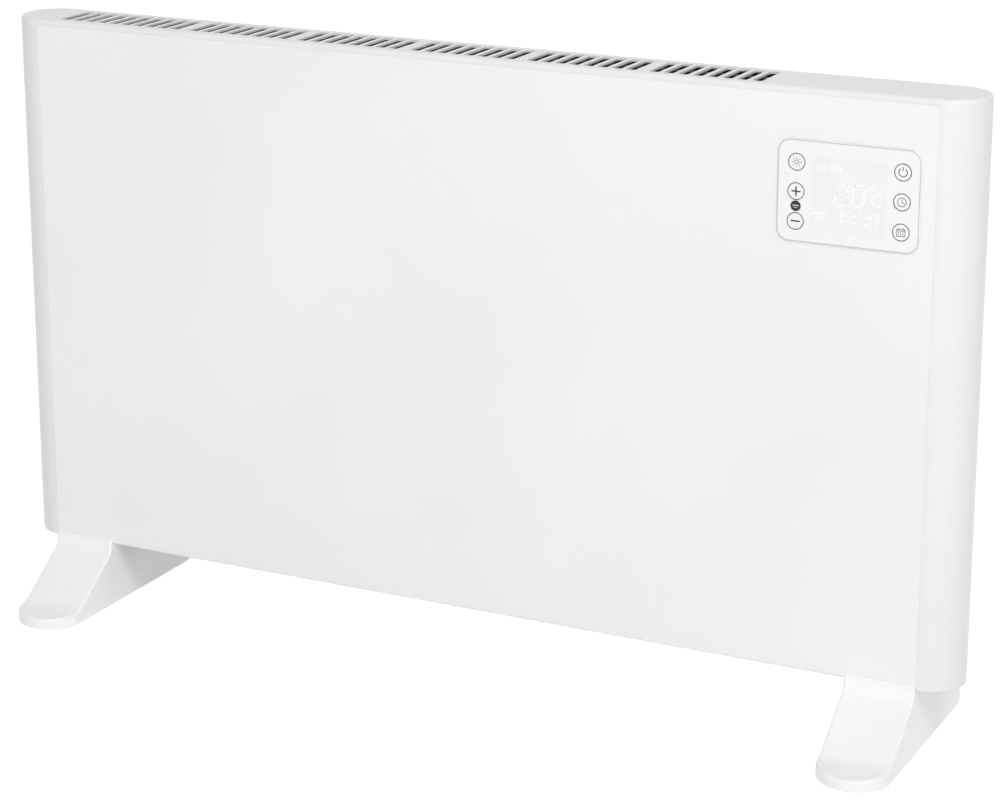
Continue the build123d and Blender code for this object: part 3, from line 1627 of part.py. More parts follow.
tab_middle_x = thermostat_back + tab_length / 2
half_tab = tab_thickness / 2
lower_tab_z, upper_tab_z = thermostat_tab_heights
outward_z = grommet_z - grommet_bore_radius / 2
return_z = grommet_z + grommet_bore_radius / 2
tab_top = element_z + terminal_tab_rise
left_tab_x = rod_left - half_tab
right_tab_x = rod_right + half_tab
wire_run_y = (shield_back + rear_inside) / 2
wire_run_z = bracket_high + lead_run_rise
side_step = thermostat_hole_spacing / 2
pocket_end_x = thermostat_header_x - header_size[0] / 2 + header_pocket

with BuildPart() as element_leads:
    # power board to the overheat thermostat
    add(
        lead(
            [
                (pocket_end_x, header_y, thermostat_header_z),
                (tab_middle_x, header_y, thermostat_header_z),
                (tab_middle_x, 0, thermostat_header_z + thermostat_lead_rise),
                (tab_middle_x, 0, lower_tab_z - half_tab),
            ],
            lead_diameter,
        )
    )
    # thermostat through the grommet to the thermal fuse
    add(
        lead(
            [
                (tab_middle_x, 0, upper_tab_z + half_tab),
                (tab_middle_x, 0, upper_tab_z + thermostat_lead_loop),
                (tab_middle_x, -side_step, upper_tab_z + thermostat_lead_loop),
                (tab_middle_x, -side_step, outward_z),
                (partition_face + grommet_straight, 0, outward_z),
                (thermal_fuse_x, 0, outward_z),
                (thermal_fuse_x, 0, thermal_fuse_low + thermal_fuse_length),
            ],
            lead_diameter,
        )
    )
    # thermal fuse to the right-hand end of the element
    add(
        lead(
            [
                (thermal_fuse_x, 0, thermal_fuse_low),
                (thermal_fuse_x, 0, tab_top + fuse_lead_straight),
                (right_tab_x, 0, tab_top + element_lead_straight),
                (right_tab_x, 0, tab_top),
            ],
            lead_diameter,
        )
    )
    # left-hand end of the element behind the shield and back to the power board
    add(
        lead(
            [
                (left_tab_x, 0, tab_top),
                (left_tab_x, 0, tab_top + left_lead_straight),
                (left_tab_x, wire_run_y, wire_run_z),
                (bracket_right + lead_run_ends[0], wire_run_y, wire_run_z),
                (bracket_right + lead_run_ends[1], 0, return_z),
                (tab_middle_x - return_lead_shift, 0, return_z),
                (tab_middle_x - return_lead_shift, header_y, element_header_z),
                (pocket_end_x, header_y, element_header_z),
            ],
            lead_diameter,
        )
    )
element_leads.part.label = "element_leads"
export_step(element_leads.part, "parts/element_leads.step")

ribbon_low = board_top - header_pocket
ribbon_high = display_board_bottom + header_pocket
ribbon_run = ribbon_straight * (display_board_bottom - board_top)

with BuildPart() as display_cable:
    ribbon_section = folded_sheet(
        (header_y + ribbon_thickness / 2, ribbon_low),
        (header_y + ribbon_thickness / 2, board_top + ribbon_run),
        (display_header_y + ribbon_thickness / 2, display_board_bottom - ribbon_run),
        (display_header_y + ribbon_thickness / 2, ribbon_high),
        place=Plane.YZ.offset(ribbon_x),
        radius=ribbon_bend,
        thickness=ribbon_thickness,
    )
    extrude(ribbon_section, amount=ribbon_width / 2, both=True)
display_cable.part.label = "display_cable"
export_step(display_cable.part, "parts/display_cable.step")

sensor_top = tray_floor - sheet - sensor_tip + sensor_length

with BuildPart() as sensor_lead:
    add(
        lead(
            [
                (sensor_x, -sensor_setback, sensor_top),
                (sensor_x, -sensor_setback, tip_high + sensor_lead_straight),
                (sensor_header_x, header_y, below_board),
                (sensor_header_x, header_y, mains_pocket_end),
            ],
            sensor_lead_diameter,
        )
    )
sensor_lead.part.label = "sensor_lead"
export_step(sensor_lead.part, "parts/sensor_lead.step")
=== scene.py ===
"""Dresses a panel convector heater: finishes, control graphics, joint beads, lamps and camera.

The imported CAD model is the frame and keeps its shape. Each class below is one sub-assembly of the
heater or of the studio, or a tool for them. Sizes are in millimetres, in the CAD frame: +X to the
right as seen from the front, the front faces -Y, +Z up, and the floor at Z = 0.
"""

from __future__ import annotations

import json
import logging
import math
from dataclasses import dataclass, field
from enum import Enum
from typing import Any

import bmesh
import bpy
from mathutils import Matrix, Quaternion, Vector

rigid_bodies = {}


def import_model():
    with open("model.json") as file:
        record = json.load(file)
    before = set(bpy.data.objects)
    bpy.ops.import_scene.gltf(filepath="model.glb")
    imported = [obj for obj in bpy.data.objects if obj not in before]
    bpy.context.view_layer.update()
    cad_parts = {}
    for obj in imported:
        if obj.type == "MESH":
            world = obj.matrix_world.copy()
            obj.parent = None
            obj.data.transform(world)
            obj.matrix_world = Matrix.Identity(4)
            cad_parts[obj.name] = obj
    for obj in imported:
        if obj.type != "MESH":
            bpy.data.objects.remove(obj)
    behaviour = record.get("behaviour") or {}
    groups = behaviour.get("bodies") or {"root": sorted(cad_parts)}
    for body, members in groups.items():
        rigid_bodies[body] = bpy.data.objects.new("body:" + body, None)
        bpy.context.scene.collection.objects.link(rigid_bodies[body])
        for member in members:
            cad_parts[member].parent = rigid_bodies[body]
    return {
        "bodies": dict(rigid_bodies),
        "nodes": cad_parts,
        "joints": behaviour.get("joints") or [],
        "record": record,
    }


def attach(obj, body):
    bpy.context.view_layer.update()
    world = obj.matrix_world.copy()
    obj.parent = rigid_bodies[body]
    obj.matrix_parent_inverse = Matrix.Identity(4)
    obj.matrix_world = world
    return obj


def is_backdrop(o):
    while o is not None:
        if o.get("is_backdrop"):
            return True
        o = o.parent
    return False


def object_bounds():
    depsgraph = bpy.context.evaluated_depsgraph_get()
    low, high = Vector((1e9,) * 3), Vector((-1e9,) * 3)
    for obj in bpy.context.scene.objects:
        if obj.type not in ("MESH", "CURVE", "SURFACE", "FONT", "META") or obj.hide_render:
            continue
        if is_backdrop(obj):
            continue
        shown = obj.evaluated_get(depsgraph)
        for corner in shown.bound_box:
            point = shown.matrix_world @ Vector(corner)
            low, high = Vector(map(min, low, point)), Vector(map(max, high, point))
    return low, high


Node = bpy.types.Node
Socket = bpy.types.NodeSocket
Tree = bpy.types.NodeTree
Spot = tuple[float, float]
Place = tuple[float, float, float]
Row = tuple[Any, ...]

LOGGER = logging.getLogger("heater")
MM = 0.001
WELD = 0.0005  # points nearer than this are one, in millimetres
WAVE = 0.314  # length of one wave of the wave texture at a scale of 1
MIX_OWN, MIX_OTHER, MIX_RESULT = 6, 7, 2  # the Mix node's sockets for colours


# --- small tools ---


def linear(colour: str) -> tuple[float, float, float, float]:
    """Turns an sRGB hex colour into linear light.

    Args:
        colour: Six hex digits after a #.

    Returns:
        Linear red, green and blue, and an alpha of 1.
    """
    parts = [int(colour[index : index + 2], 16) / 255 for index in (1, 3, 5)]
    light = [part / 12.92 if part <= 0.04045 else ((part + 0.055) / 1.055) ** 2.4 for part in parts]
    return (light[0], light[1], light[2], 1.0)


def add_node(tree: Tree, kind: str, inputs: dict[Any, Any] | None = None, **settings: Any) -> Node:
    """Adds a node with its settings, values and links.

    Args:
        tree: The node tree that takes the node.
        kind: Blender's name for the node's type.
        inputs: For each input's name or number, a value, or the output socket to link to it.
        **settings: The node's own properties.

    Returns:
        The new node.
    """
    node = tree.nodes.new(kind)
    for name, value in settings.items():
        setattr(node, name, value)
    for name, value in (inputs or {}).items():
        if isinstance(value, Socket):
            tree.links.new(value, node.inputs[name])
        else:
            node.inputs[name].default_value = value
    return node


def point(x: float, y: float, z: float) -> Vector:
    """Turns millimetres into a point in metres."""
    return Vector((x, y, z)) * MM


def front_plane(x: float, y: float, z: float) -> Matrix:
    """Stands a drawing up so that it faces the front, with its zero at a point in millimetres."""
    return Matrix.Translation((x, y, z)) @ Matrix.Rotation(math.radians(90), 4, "X")


def rear_plane(x: float, y: float, z: float, lean: float = 0.0) -> Matrix:
    """Stands a drawing up so that it faces the rear, leaned back by some degrees."""
    turned = Matrix.Rotation(math.radians(180), 4, "Z") @ Matrix.Rotation(math.radians(90), 4, "X")
    return Matrix.Translation((x, y, z)) @ Matrix.Rotation(math.radians(lean), 4, "X") @ turned


def finish_mesh(name: str, shape: bmesh.types.BMesh, material: bpy.types.Material) -> bpy.types.Object:
    """Makes a finished piece from a bmesh whose coordinates are millimetres in the CAD frame.

    Args:
        name: The piece's name.
        shape: The bmesh, which is freed.
        material: The piece's only material.

    Returns:
        The object, at the origin, with its place in its mesh.
    """
    bmesh.ops.remove_doubles(shape, verts=shape.verts, dist=WELD)
    bmesh.ops.recalc_face_normals(shape, faces=shape.faces)
    bmesh.ops.scale(shape, vec=(MM, MM, MM), verts=shape.verts)
    mesh = bpy.data.meshes.new(name)
    shape.to_mesh(mesh)
    shape.free()
    mesh.materials.append(material)
    piece = bpy.data.objects.new(name, mesh)
    bpy.context.scene.collection.objects.link(piece)
    return piece


# --- finishes ---


@dataclass
class Skin:
    """One material while its nodes are made.

    Attributes:
        tree: Its nodes.
        shader: Its shader.
        place: The piece's own coordinates, in metres.
    """

    tree: Tree
    shader: Node
    place: Socket

    def lumps(self, size: float, layers: float = 2.0, place: Socket | None = None) -> Socket:
        """Makes uneven lumps of a real size.

        Args:
            size: The lumps' size in millimetres.
            layers: How many finer layers lie on them.
            place: Coordinates to read in place of the piece's own.

        Returns:
            The pattern, 0 to 1.
        """
        inputs = {"Vector": place or self.place, "Scale": 1 / (size * MM), "Detail": layers}
        return add_node(self.tree, "ShaderNodeTexNoise", inputs).outputs["Fac"]

    def within(self, **reach: float) -> Socket:
        """Finds what lies near the middle of the CAD frame.

        Args:
            **reach: For each axis that counts, X, Y or Z, how far from zero is still near.

        Returns:
            1 there, else 0.
        """
        away = add_node(self.tree, "ShaderNodeVectorMath", {0: self.place}, operation="ABSOLUTE")
        axes = add_node(self.tree, "ShaderNodeSeparateXYZ", {"Vector": away.outputs["Vector"]}).outputs
        near: Any = 1.0
        for axis, limit in reach.items():
            side = {0: axes[axis], 1: limit * MM}
            test = add_node(self.tree, "ShaderNodeMath", side, operation="LESS_THAN")
            both = {0: near, 1: test.outputs["Value"]}
            near = add_node(self.tree, "ShaderNodeMath", both, operation="MULTIPLY").outputs["Value"]
        return near

    def cover(self, mask: Socket, colour: str) -> None:
        """Lays another colour over the surface's own.

        Args:
            mask: 1 where it lies, else 0.
            colour: The sRGB colour.
        """
        base = self.shader.inputs["Base Color"]
        inputs = {"Factor": mask, MIX_OWN: base.links[0].from_socket, MIX_OTHER: linear(colour)}
        coat = add_node(self.tree, "ShaderNodeMix", inputs, data_type="RGBA")
        self.tree.links.new(coat.outputs[MIX_RESULT], base)


@dataclass(frozen=True)
class Finish:
    """A real material and the way its surface was made. A size of 0 means that there is no such pattern.

    Attributes:
        name: What the material is.
        colour: Its sRGB colour.
        roughness: Of the shader, 0 to 1.
        metallic: 1 for bare metal, else 0.
        ior: Of the surface; a metal keeps the default.
        coat: Weight of a clear coat over it.
        coat_roughness: Roughness of that coat.
        shade: The sRGB colour that its tone drifts to.
        tone_size: Size of that drift in millimetres.
        tone_range: The pattern's values that give the shade and the colour in full.
        gloss_size: Size of the drift of roughness in millimetres.
        gloss_range: How far the roughness drifts down and up.
        grain: Size of the relief's lumps in millimetres.
        layers: How many finer layers lie on those lumps.
        depth: The relief's depth in millimetres.
        strength: How much of the relief shows.
    """

    name: str
    colour: str
    roughness: float = 0.5
    metallic: float = 0.0
    ior: float = 1.5
    coat: float = 0.0
    coat_roughness: float = 0.03
    shade: str = ""
    tone_size: float = 0.0
    tone_range: Spot = (0.3, 0.7)
    gloss_size: float = 0.0
    gloss_range: Spot = (-0.05, 0.06)
    grain: float = 0.0
    layers: float = 2.0
    depth: float = 0.01
    strength: float = 0.5

    def patterns(self, skin: Skin) -> dict[str, Socket]:
        """Makes the patterns of the surface.

        Args:
            skin: The material under way.

        Returns:
            The factor of each of "tone", "gloss" and "relief" that the surface shows.
        """
        sizes = {"tone": (self.tone_size,), "gloss": (self.gloss_size,), "relief": (self.grain, self.layers)}
        return {name: skin.lumps(*size) for name, size in sizes.items() if size[0]}

    def work(self, skin: Skin) -> None:
        """Lets the patterns drift the colour and the roughness, and raise the surface.

        Args:
            skin: The material under way.
        """
        made = self.patterns(skin)
        link, inputs = skin.tree.links.new, skin.shader.inputs
        if "tone" in made:
            ramp = add_node(skin.tree, "ShaderNodeValToRGB", {"Fac": made["tone"]})
            for element, position, colour in zip(
                ramp.color_ramp.elements, self.tone_range, (self.shade, self.colour)
            ):
                element.position = position
                element.color = linear(colour)
            link(ramp.outputs["Color"], inputs["Base Color"])
        if "gloss" in made:
            low, high = (self.roughness + drift for drift in self.gloss_range)
            drift = {"Value": made["gloss"], "To Min": low, "To Max": high}
            link(add_node(skin.tree, "ShaderNodeMapRange", drift).outputs["Result"], inputs["Roughness"])
        if "relief" in made:
            relief = {"Height": made["relief"], "Distance": self.depth * MM, "Strength": self.strength}
            link(add_node(skin.tree, "ShaderNodeBump", relief).outputs["Normal"], inputs["Normal"])

    def extra(self, skin: Skin) -> None:
        """Adds what only this kind of surface has."""

    def build(self) -> bpy.types.Material:
        """Makes the material with the patterns that its kind of surface shows.

        Returns:
            The material.
        """
        material = bpy.data.materials.new(self.name)
        material.use_nodes = True
        tree = material.node_tree
        tree.nodes.clear()
        values = {
            "Base Color": linear(self.colour),
            "Roughness": self.roughness,
            "Metallic": self.metallic,
            "IOR": self.ior,
            "Coat Weight": self.coat,
            "Coat Roughness": self.coat_roughness,
        }
        shader = add_node(tree, "ShaderNodeBsdfPrincipled", values)
        add_node(tree, "ShaderNodeOutputMaterial", {"Surface": shader.outputs["BSDF"]})
        skin = Skin(tree, shader, add_node(tree, "ShaderNodeTexCoord").outputs["Object"])
        self.work(skin)
        self.extra(skin)
        return material


@dataclass(frozen=True)
class PowderCoat(Finish):
    """Sheet steel under baked powder enamel: glossy, with the shallow orange peel that it cures to.

    The sheet has a thin backing coat on its other side, which faces into the heater; it is drawn dark as
    painted shade of the heater's dim inside.

    Attributes:
        backing: The sRGB colour of that backing, dark as painted shade.
        inner_face: Y of the panels' inner faces, from the middle.
        below_fold: Z of the panels' folded top edges.
        in_fold: Y inside those edges, from the middle.
        tray: Z of the tray, up to which both sides are white.
    """

    ior: float = 1.52
    coat: float = 0.35
    coat_roughness: float = 0.06
    shade: str = "#EDEDED"
    tone_size: float = 180.0
    gloss_size: float = 60.0
    gloss_range: Spot = (-0.04, 0.05)
    grain: float = 3.2
    layers: float = 1.0
    depth: float = 0.02
    strength: float = 0.35
    # painted shade: the dark backing stands in for the shade inside the heater
    backing: str = "#2C2E30"
    inner_face: float = 25.2
    below_fold: float = 447.5
    in_fold: float = 23.9
    tray: float = 49.0

    def extra(self, skin: Skin) -> None:
        """Adds the backing, dark as painted shade, on the panels' inner faces and inside their folded top
        edges.

        Args:
            skin: The material under way.
        """
        areas = {0: skin.within(Y=self.inner_face, Z=self.below_fold), 1: skin.within(Y=self.in_fold)}
        either = add_node(skin.tree, "ShaderNodeMath", areas, operation="MAXIMUM").outputs["Value"]
        above = {0: either, 1: skin.within(Z=self.tray)}
        inside = add_node(skin.tree, "ShaderNodeMath", above, operation="SUBTRACT", use_clamp=True)
        # painted shade: darkens the insides seen through the slots
        skin.cover(inside.outputs["Value"], self.backing)


@dataclass(frozen=True)
class MouldedPlastic(Finish):
    """Injection-moulded ABS or PC from a spark-eroded tool: an even, fine pebble that softens the gloss.

    The gloss drifts where the melt flowed. The tool's grain is about 0.3 mm, drawn coarser so that it
    shows.
    """

    tone_size: float = 90.0
    gloss_size: float = 45.0
    grain: float = 0.9
    depth: float = 0.012


@dataclass(frozen=True)
class VentMould(MouldedPlastic):
    """The outlet's moulding: its underside and the lower part of its slots' walls are painted dark, as
    painted shade of the heater's inside.

    Attributes:
        spray: The sRGB colour of that painted shade.
        half_length: X of the painted shade's limit, from the middle.
        half_width: Y of its limit, from the middle.
        top: Z of its limit.
    """

    # painted shade: darkens what shows through the outlet's slots
    spray: str = "#404244"
    half_length: float = 340.0
    half_width: float = 22.0
    top: float = 452.0

    def extra(self, skin: Skin) -> None:
        """Adds the painted shade below the deck and between the outer rims."""
        skin.cover(skin.within(X=self.half_length, Y=self.half_width, Z=self.top), self.spray)


@dataclass(frozen=True)
class ClearLacquer(Finish):
    """A white print behind a clear polycarbonate window: mirror-smooth over a soft, faintly uneven white."""

    ior: float = 1.58
    coat: float = 1.0
    shade: str = "#EEEEEE"
    tone_size: float = 25.0


@dataclass(frozen=True)
class PlatedSteel(Finish):
    """Zinc-plated steel: grey-blue crystals that catch the light one by one, under rolling scratches."""

    metallic: float = 1.0
    shade: str = "#8E9194"
    tone_size: float = 3.5
    tone_range: Spot = (0.0, 1.0)
    gloss_range: Spot = (-0.08, 0.12)
    grain: float = 0.4
    depth: float = 0.004
    strength: float = 0.4

    def patterns(self, skin: Skin) -> dict[str, Socket]:
        """Makes the crystals, which set tone and gloss, and the scratches.

        Args:
            skin: The material under way.

        Returns:
            The factor of each pattern.
        """
        scale = {"Vector": skin.place, "Scale": 1 / (self.tone_size * MM)}
        cells = add_node(skin.tree, "ShaderNodeTexVoronoi", scale).outputs["Color"]
        crystals = add_node(skin.tree, "ShaderNodeSeparateColor", {"Color": cells}).outputs["Red"]
        return {"tone": crystals, "gloss": crystals, "relief": skin.lumps(self.grain, self.layers)}


@dataclass(frozen=True)
class DrawnMetal(Finish):
    """Rolled, extruded or drawn metal: fine parallel lines along one way.

    Real die lines are under 0.1 mm, drawn coarser so that they show.

    Attributes:
        along: The axis along which the metal moved, 0 to 2.
        stretch: How many times longer than wide the lines are.
    """

    metallic: float = 1.0
    shade: str = "#8F9295"
    gloss_range: Spot = (-0.08, 0.12)
    grain: float = 0.35
    layers: float = 3.0
    depth: float = 0.006
    strength: float = 0.4
    along: int = 0
    stretch: float = 40.0

    def patterns(self, skin: Skin) -> dict[str, Socket]:
        """Makes the lines, which set tone, gloss and relief.

        Args:
            skin: The material under way.

        Returns:
            The factor of each pattern.
        """
        scale = [1.0, 1.0, 1.0]
        scale[self.along] = 1 / self.stretch
        stretched = add_node(skin.tree, "ShaderNodeMapping", {"Vector": skin.place, "Scale": scale})
        lines = skin.lumps(self.grain, self.layers, stretched.outputs["Vector"])
        return dict.fromkeys(("tone", "gloss", "relief"), lines)


@dataclass(frozen=True)
class TintedSteel(Finish):
    """Steel that runs hot: straw and violet heat tints in soft bands over a fine oxide grain."""

    metallic: float = 1.0
    shade: str = "#5B4A52"
    tone_size: float = 30.0
    grain: float = 0.6


@dataclass(frozen=True)
class SoftMould(Finish):
    """Moulded rubber or cut foam: matt, with a dry pale bloom and open pores."""

    shade: str = "#2A2A2B"
    tone_size: float = 9.0
    grain: float = 1.1
    layers: float = 3.0
    depth: float = 0.05
    strength: float = 0.6


@dataclass(frozen=True)
class SolderMask(Finish):
    """Glass-epoxy board under green solder mask: copper tracks show as paler, straight-edged paths.

    Attributes:
        cell: Size of the square fields between the tracks, in millimetres.
        uneven: How irregular those fields are, 0 to 1.
    """

    shade: str = "#0B3D1F"
    tone_range: Spot = (0.06, 0.1)
    depth: float = 0.035
    cell: float = 4.8
    uneven: float = 0.75

    def patterns(self, skin: Skin) -> dict[str, Socket]:
        """Makes the tracks as thin lines between square cells, for their tone and their height.

        Args:
            skin: The material under way.

        Returns:
            The factor of each pattern.
        """
        inputs = {"Vector": skin.place, "Scale": 1 / (self.cell * MM), "Randomness": self.uneven}
        far, near = (
            add_node(skin.tree, "ShaderNodeTexVoronoi", inputs, feature=feature, distance="CHEBYCHEV")
            for feature in ("F2", "F1")
        )
        distances = {0: far.outputs["Distance"], 1: near.outputs["Distance"]}
        gap = add_node(skin.tree, "ShaderNodeMath", distances, operation="SUBTRACT").outputs["Value"]
        return {"tone": gap, "relief": gap}


@dataclass(frozen=True)
class Winding(Finish):
    """Enamelled wire or tape wound side by side: even ridges round the coil.

    Attributes:
        pitch: From one turn to the next, in millimetres.
        wander: How far the turns stray.
    """

    shade: str = "#7A3D1C"
    tone_range: Spot = (0.1, 0.6)
    depth: float = 0.12
    strength: float = 0.8
    pitch: float = 0.9
    wander: float = 0.6

    def patterns(self, skin: Skin) -> dict[str, Socket]:
        """Makes the turns as bands one above another.

        Args:
            skin: The material under way.

        Returns:
            The factor of each pattern.
        """
        scale = WAVE / (self.pitch * MM)
        inputs = {"Vector": skin.place, "Scale": scale, "Distortion": self.wander, "Detail": 1.0}
        turns = add_node(skin.tree, "ShaderNodeTexWave", inputs, bands_direction="Z").outputs["Fac"]
        return {"tone": turns, "relief": turns}


@dataclass(frozen=True)
class Insulation(Finish):
    """Extruded wire insulation: a soft sheen with a faint drift of colour and the extruder's fine ripple."""

    roughness: float = 0.45
    tone_size: float = 12.0
    grain: float = 0.8
    strength: float = 0.4


@dataclass(frozen=True)
class StripedInsulation(Insulation):
    """The same with a second colour in stripes. Its tone_size is the stripes' pitch."""

    tone_size: float = 9.0
    tone_range: Spot = (0.48, 0.52)

    def patterns(self, skin: Skin) -> dict[str, Socket]:
        """Makes the stripes and the ripple.

        Args:
            skin: The material under way.

        Returns:
            The factor of each pattern.
        """
        inputs = {"Vector": skin.place, "Scale": WAVE / (self.tone_size * MM)}
        bands = add_node(skin.tree, "ShaderNodeTexWave", inputs, bands_direction="DIAGONAL")
        return super().patterns(skin) | {"tone": bands.outputs["Fac"]}


@dataclass(frozen=True)
class ScreenPrint(Finish):
    """Screen-printed ink: flat and even, with a slight mottle where the mesh let less through."""

    tone_size: float = 1.6
    tone_range: Spot = (0.2, 0.9)


@dataclass(frozen=True)
class LitSegment(Finish):
    """A display segment lit from behind: white that glows a little, mottled by its diffuser.

    Attributes:
        glow: Strength of the white light that it gives.
    """

    shade: str = "#F2F3F4"
    tone_size: float = 3.0
    glow: float = 0.03

    def extra(self, skin: Skin) -> None:
        """Adds the glow."""
        skin.shader.inputs["Emission Color"].default_value = linear("#FFFFFF")
        skin.shader.inputs["Emission Strength"].default_value = self.glow


class Paint(Enum):
    """The finishes of this heater. Those named as a slot of the record dress the CAD pieces."""

    WHITE_STEEL = PowderCoat("white_steel", "#F2F2F2", 0.24)
    WHITE_PLASTIC = MouldedPlastic("white_plastic", "#ECECEC", 0.3, shade="#E9E9E9", ior=1.52, depth=0.006)
    GRILLE_PLASTIC = VentMould("grille_plastic", "#EDEDED", 0.33, shade="#EAEAEA", ior=1.52)
    FOOT_PLASTIC = MouldedPlastic("foot_plastic", "#F8F8F8", 0.42, shade="#F5F5F5", ior=1.52)
    WINDOW_WHITE = ClearLacquer("window_white", "#EFEFEF", 0.12, coat_roughness=0.02)
    GREY_PLASTIC = MouldedPlastic("grey_plastic", "#8D8F92", 0.5, shade="#85878A")
    BLACK_PLASTIC = MouldedPlastic("black_plastic", "#1B1B1C", 0.48, shade="#161617")
    GLOSS_BLACK = MouldedPlastic("gloss_black", "#131314", 0.22, shade="#101011", depth=0.003)
    ZINC_STEEL = PlatedSteel("zinc_steel", "#A9ACB0", 0.34)
    ALUMINIUM = DrawnMetal("aluminium", "#C7C9CB", 0.36)
    FOIL = DrawnMetal("foil", "#D3D5D7", 0.22, shade="#B2B4B6")
    ROD_STEEL = TintedSteel("rod_steel", "#6E6862", 0.4)
    BRASS = DrawnMetal("brass", "#C79F4D", 0.3, shade="#A88440", along=2)
    CERAMIC = MouldedPlastic("ceramic", "#E6E1D4", 0.2, shade="#DCD5C4", grain=2.5, depth=0.01)
    RUBBER = SoftMould("rubber", "#1C1C1D", 0.75)
    FOAM = SoftMould("foam", "#343435", 0.9, shade="#29292A", grain=0.7, depth=0.12)
    BOARD_GREEN = SolderMask("board_green", "#14562F", 0.28, coat=0.5)
    RELAY_BLUE = MouldedPlastic("relay_blue", "#1C3F93", 0.38, shade="#193985")
    COIL_YELLOW = Winding("coil_yellow", "#C99A2B", 0.35, shade="#B98B22", pitch=3.0)
    COPPER = Winding("copper", "#B5653A", 0.28, metallic=1.0)
    HEADER_CREAM = MouldedPlastic("header_cream", "#DED8C8", 0.45, shade="#D6CFBC")
    LEAD_RED = Insulation("lead_red", "#9C1E17", 0.55, shade="#8E1912")
    LEAD_BROWN = Insulation("lead_brown", "#5A3621", shade="#50301D")
    LEAD_GREEN = StripedInsulation("lead_green", "#2E8B2A", shade="#E2C71D")
    LEAD_GREY = Insulation("lead_grey", "#9A9DA1", shade="#909397")
    INK = ScreenPrint("grey_ink", "#2C2E30", 0.3, shade="#26282A")
    DARK_INK = ScreenPrint("dark_ink", "#191A1B", 0.25, shade="#141516")
    # painted shade: this grey draws the shade of the gap round the touch window
    PALE_INK = ScreenPrint("rim_shade_grey", "#C0C0C0", 0.3, shade="#B8B8B8")
    DISPLAY_GREY = ClearLacquer("display_grey", "#EDEDED", 0.14, shade="#EAEAEA")
    SEGMENT = LitSegment("lit_segment", "#F6F6F6", 0.4)
    MARK_WHITE = ScreenPrint("white_ink", "#E9E9E7", 0.35, shade="#E0E0DE")


class Paintbox:
    """Makes each finish once and hands it out."""

    own = {
        "left_foot": Paint.FOOT_PLASTIC,
        "right_foot": Paint.FOOT_PLASTIC,
        "top_grille": Paint.GRILLE_PLASTIC,
    }

    def __init__(self) -> None:
        """Starts with no material made."""
        self.made: dict[Paint, bpy.types.Material] = {}

    def get(self, paint: Paint) -> bpy.types.Material:
        """Gives a finish's material, made at its first use.

        Args:
            paint: The finish.

        Returns:
            Its material.
        """
        if paint not in self.made:
            self.made[paint] = paint.value.build()
        return self.made[paint]

    def dress_frame(self, frame: dict[str, Any]) -> None:
        """Gives every CAD piece the finish of its slot in the record, and the feet and the top their own.
        """
        for part in frame["record"]["subparts"]:
            node = part["node"]
            paint = self.own.get(node, Paint[part["material_slot"].upper()])
            for slot in frame["nodes"][node].material_slots:
                slot.material = self.get(paint)
            LOGGER.info("dressed %s in %s", node, paint.value.name)


# --- drawing ---


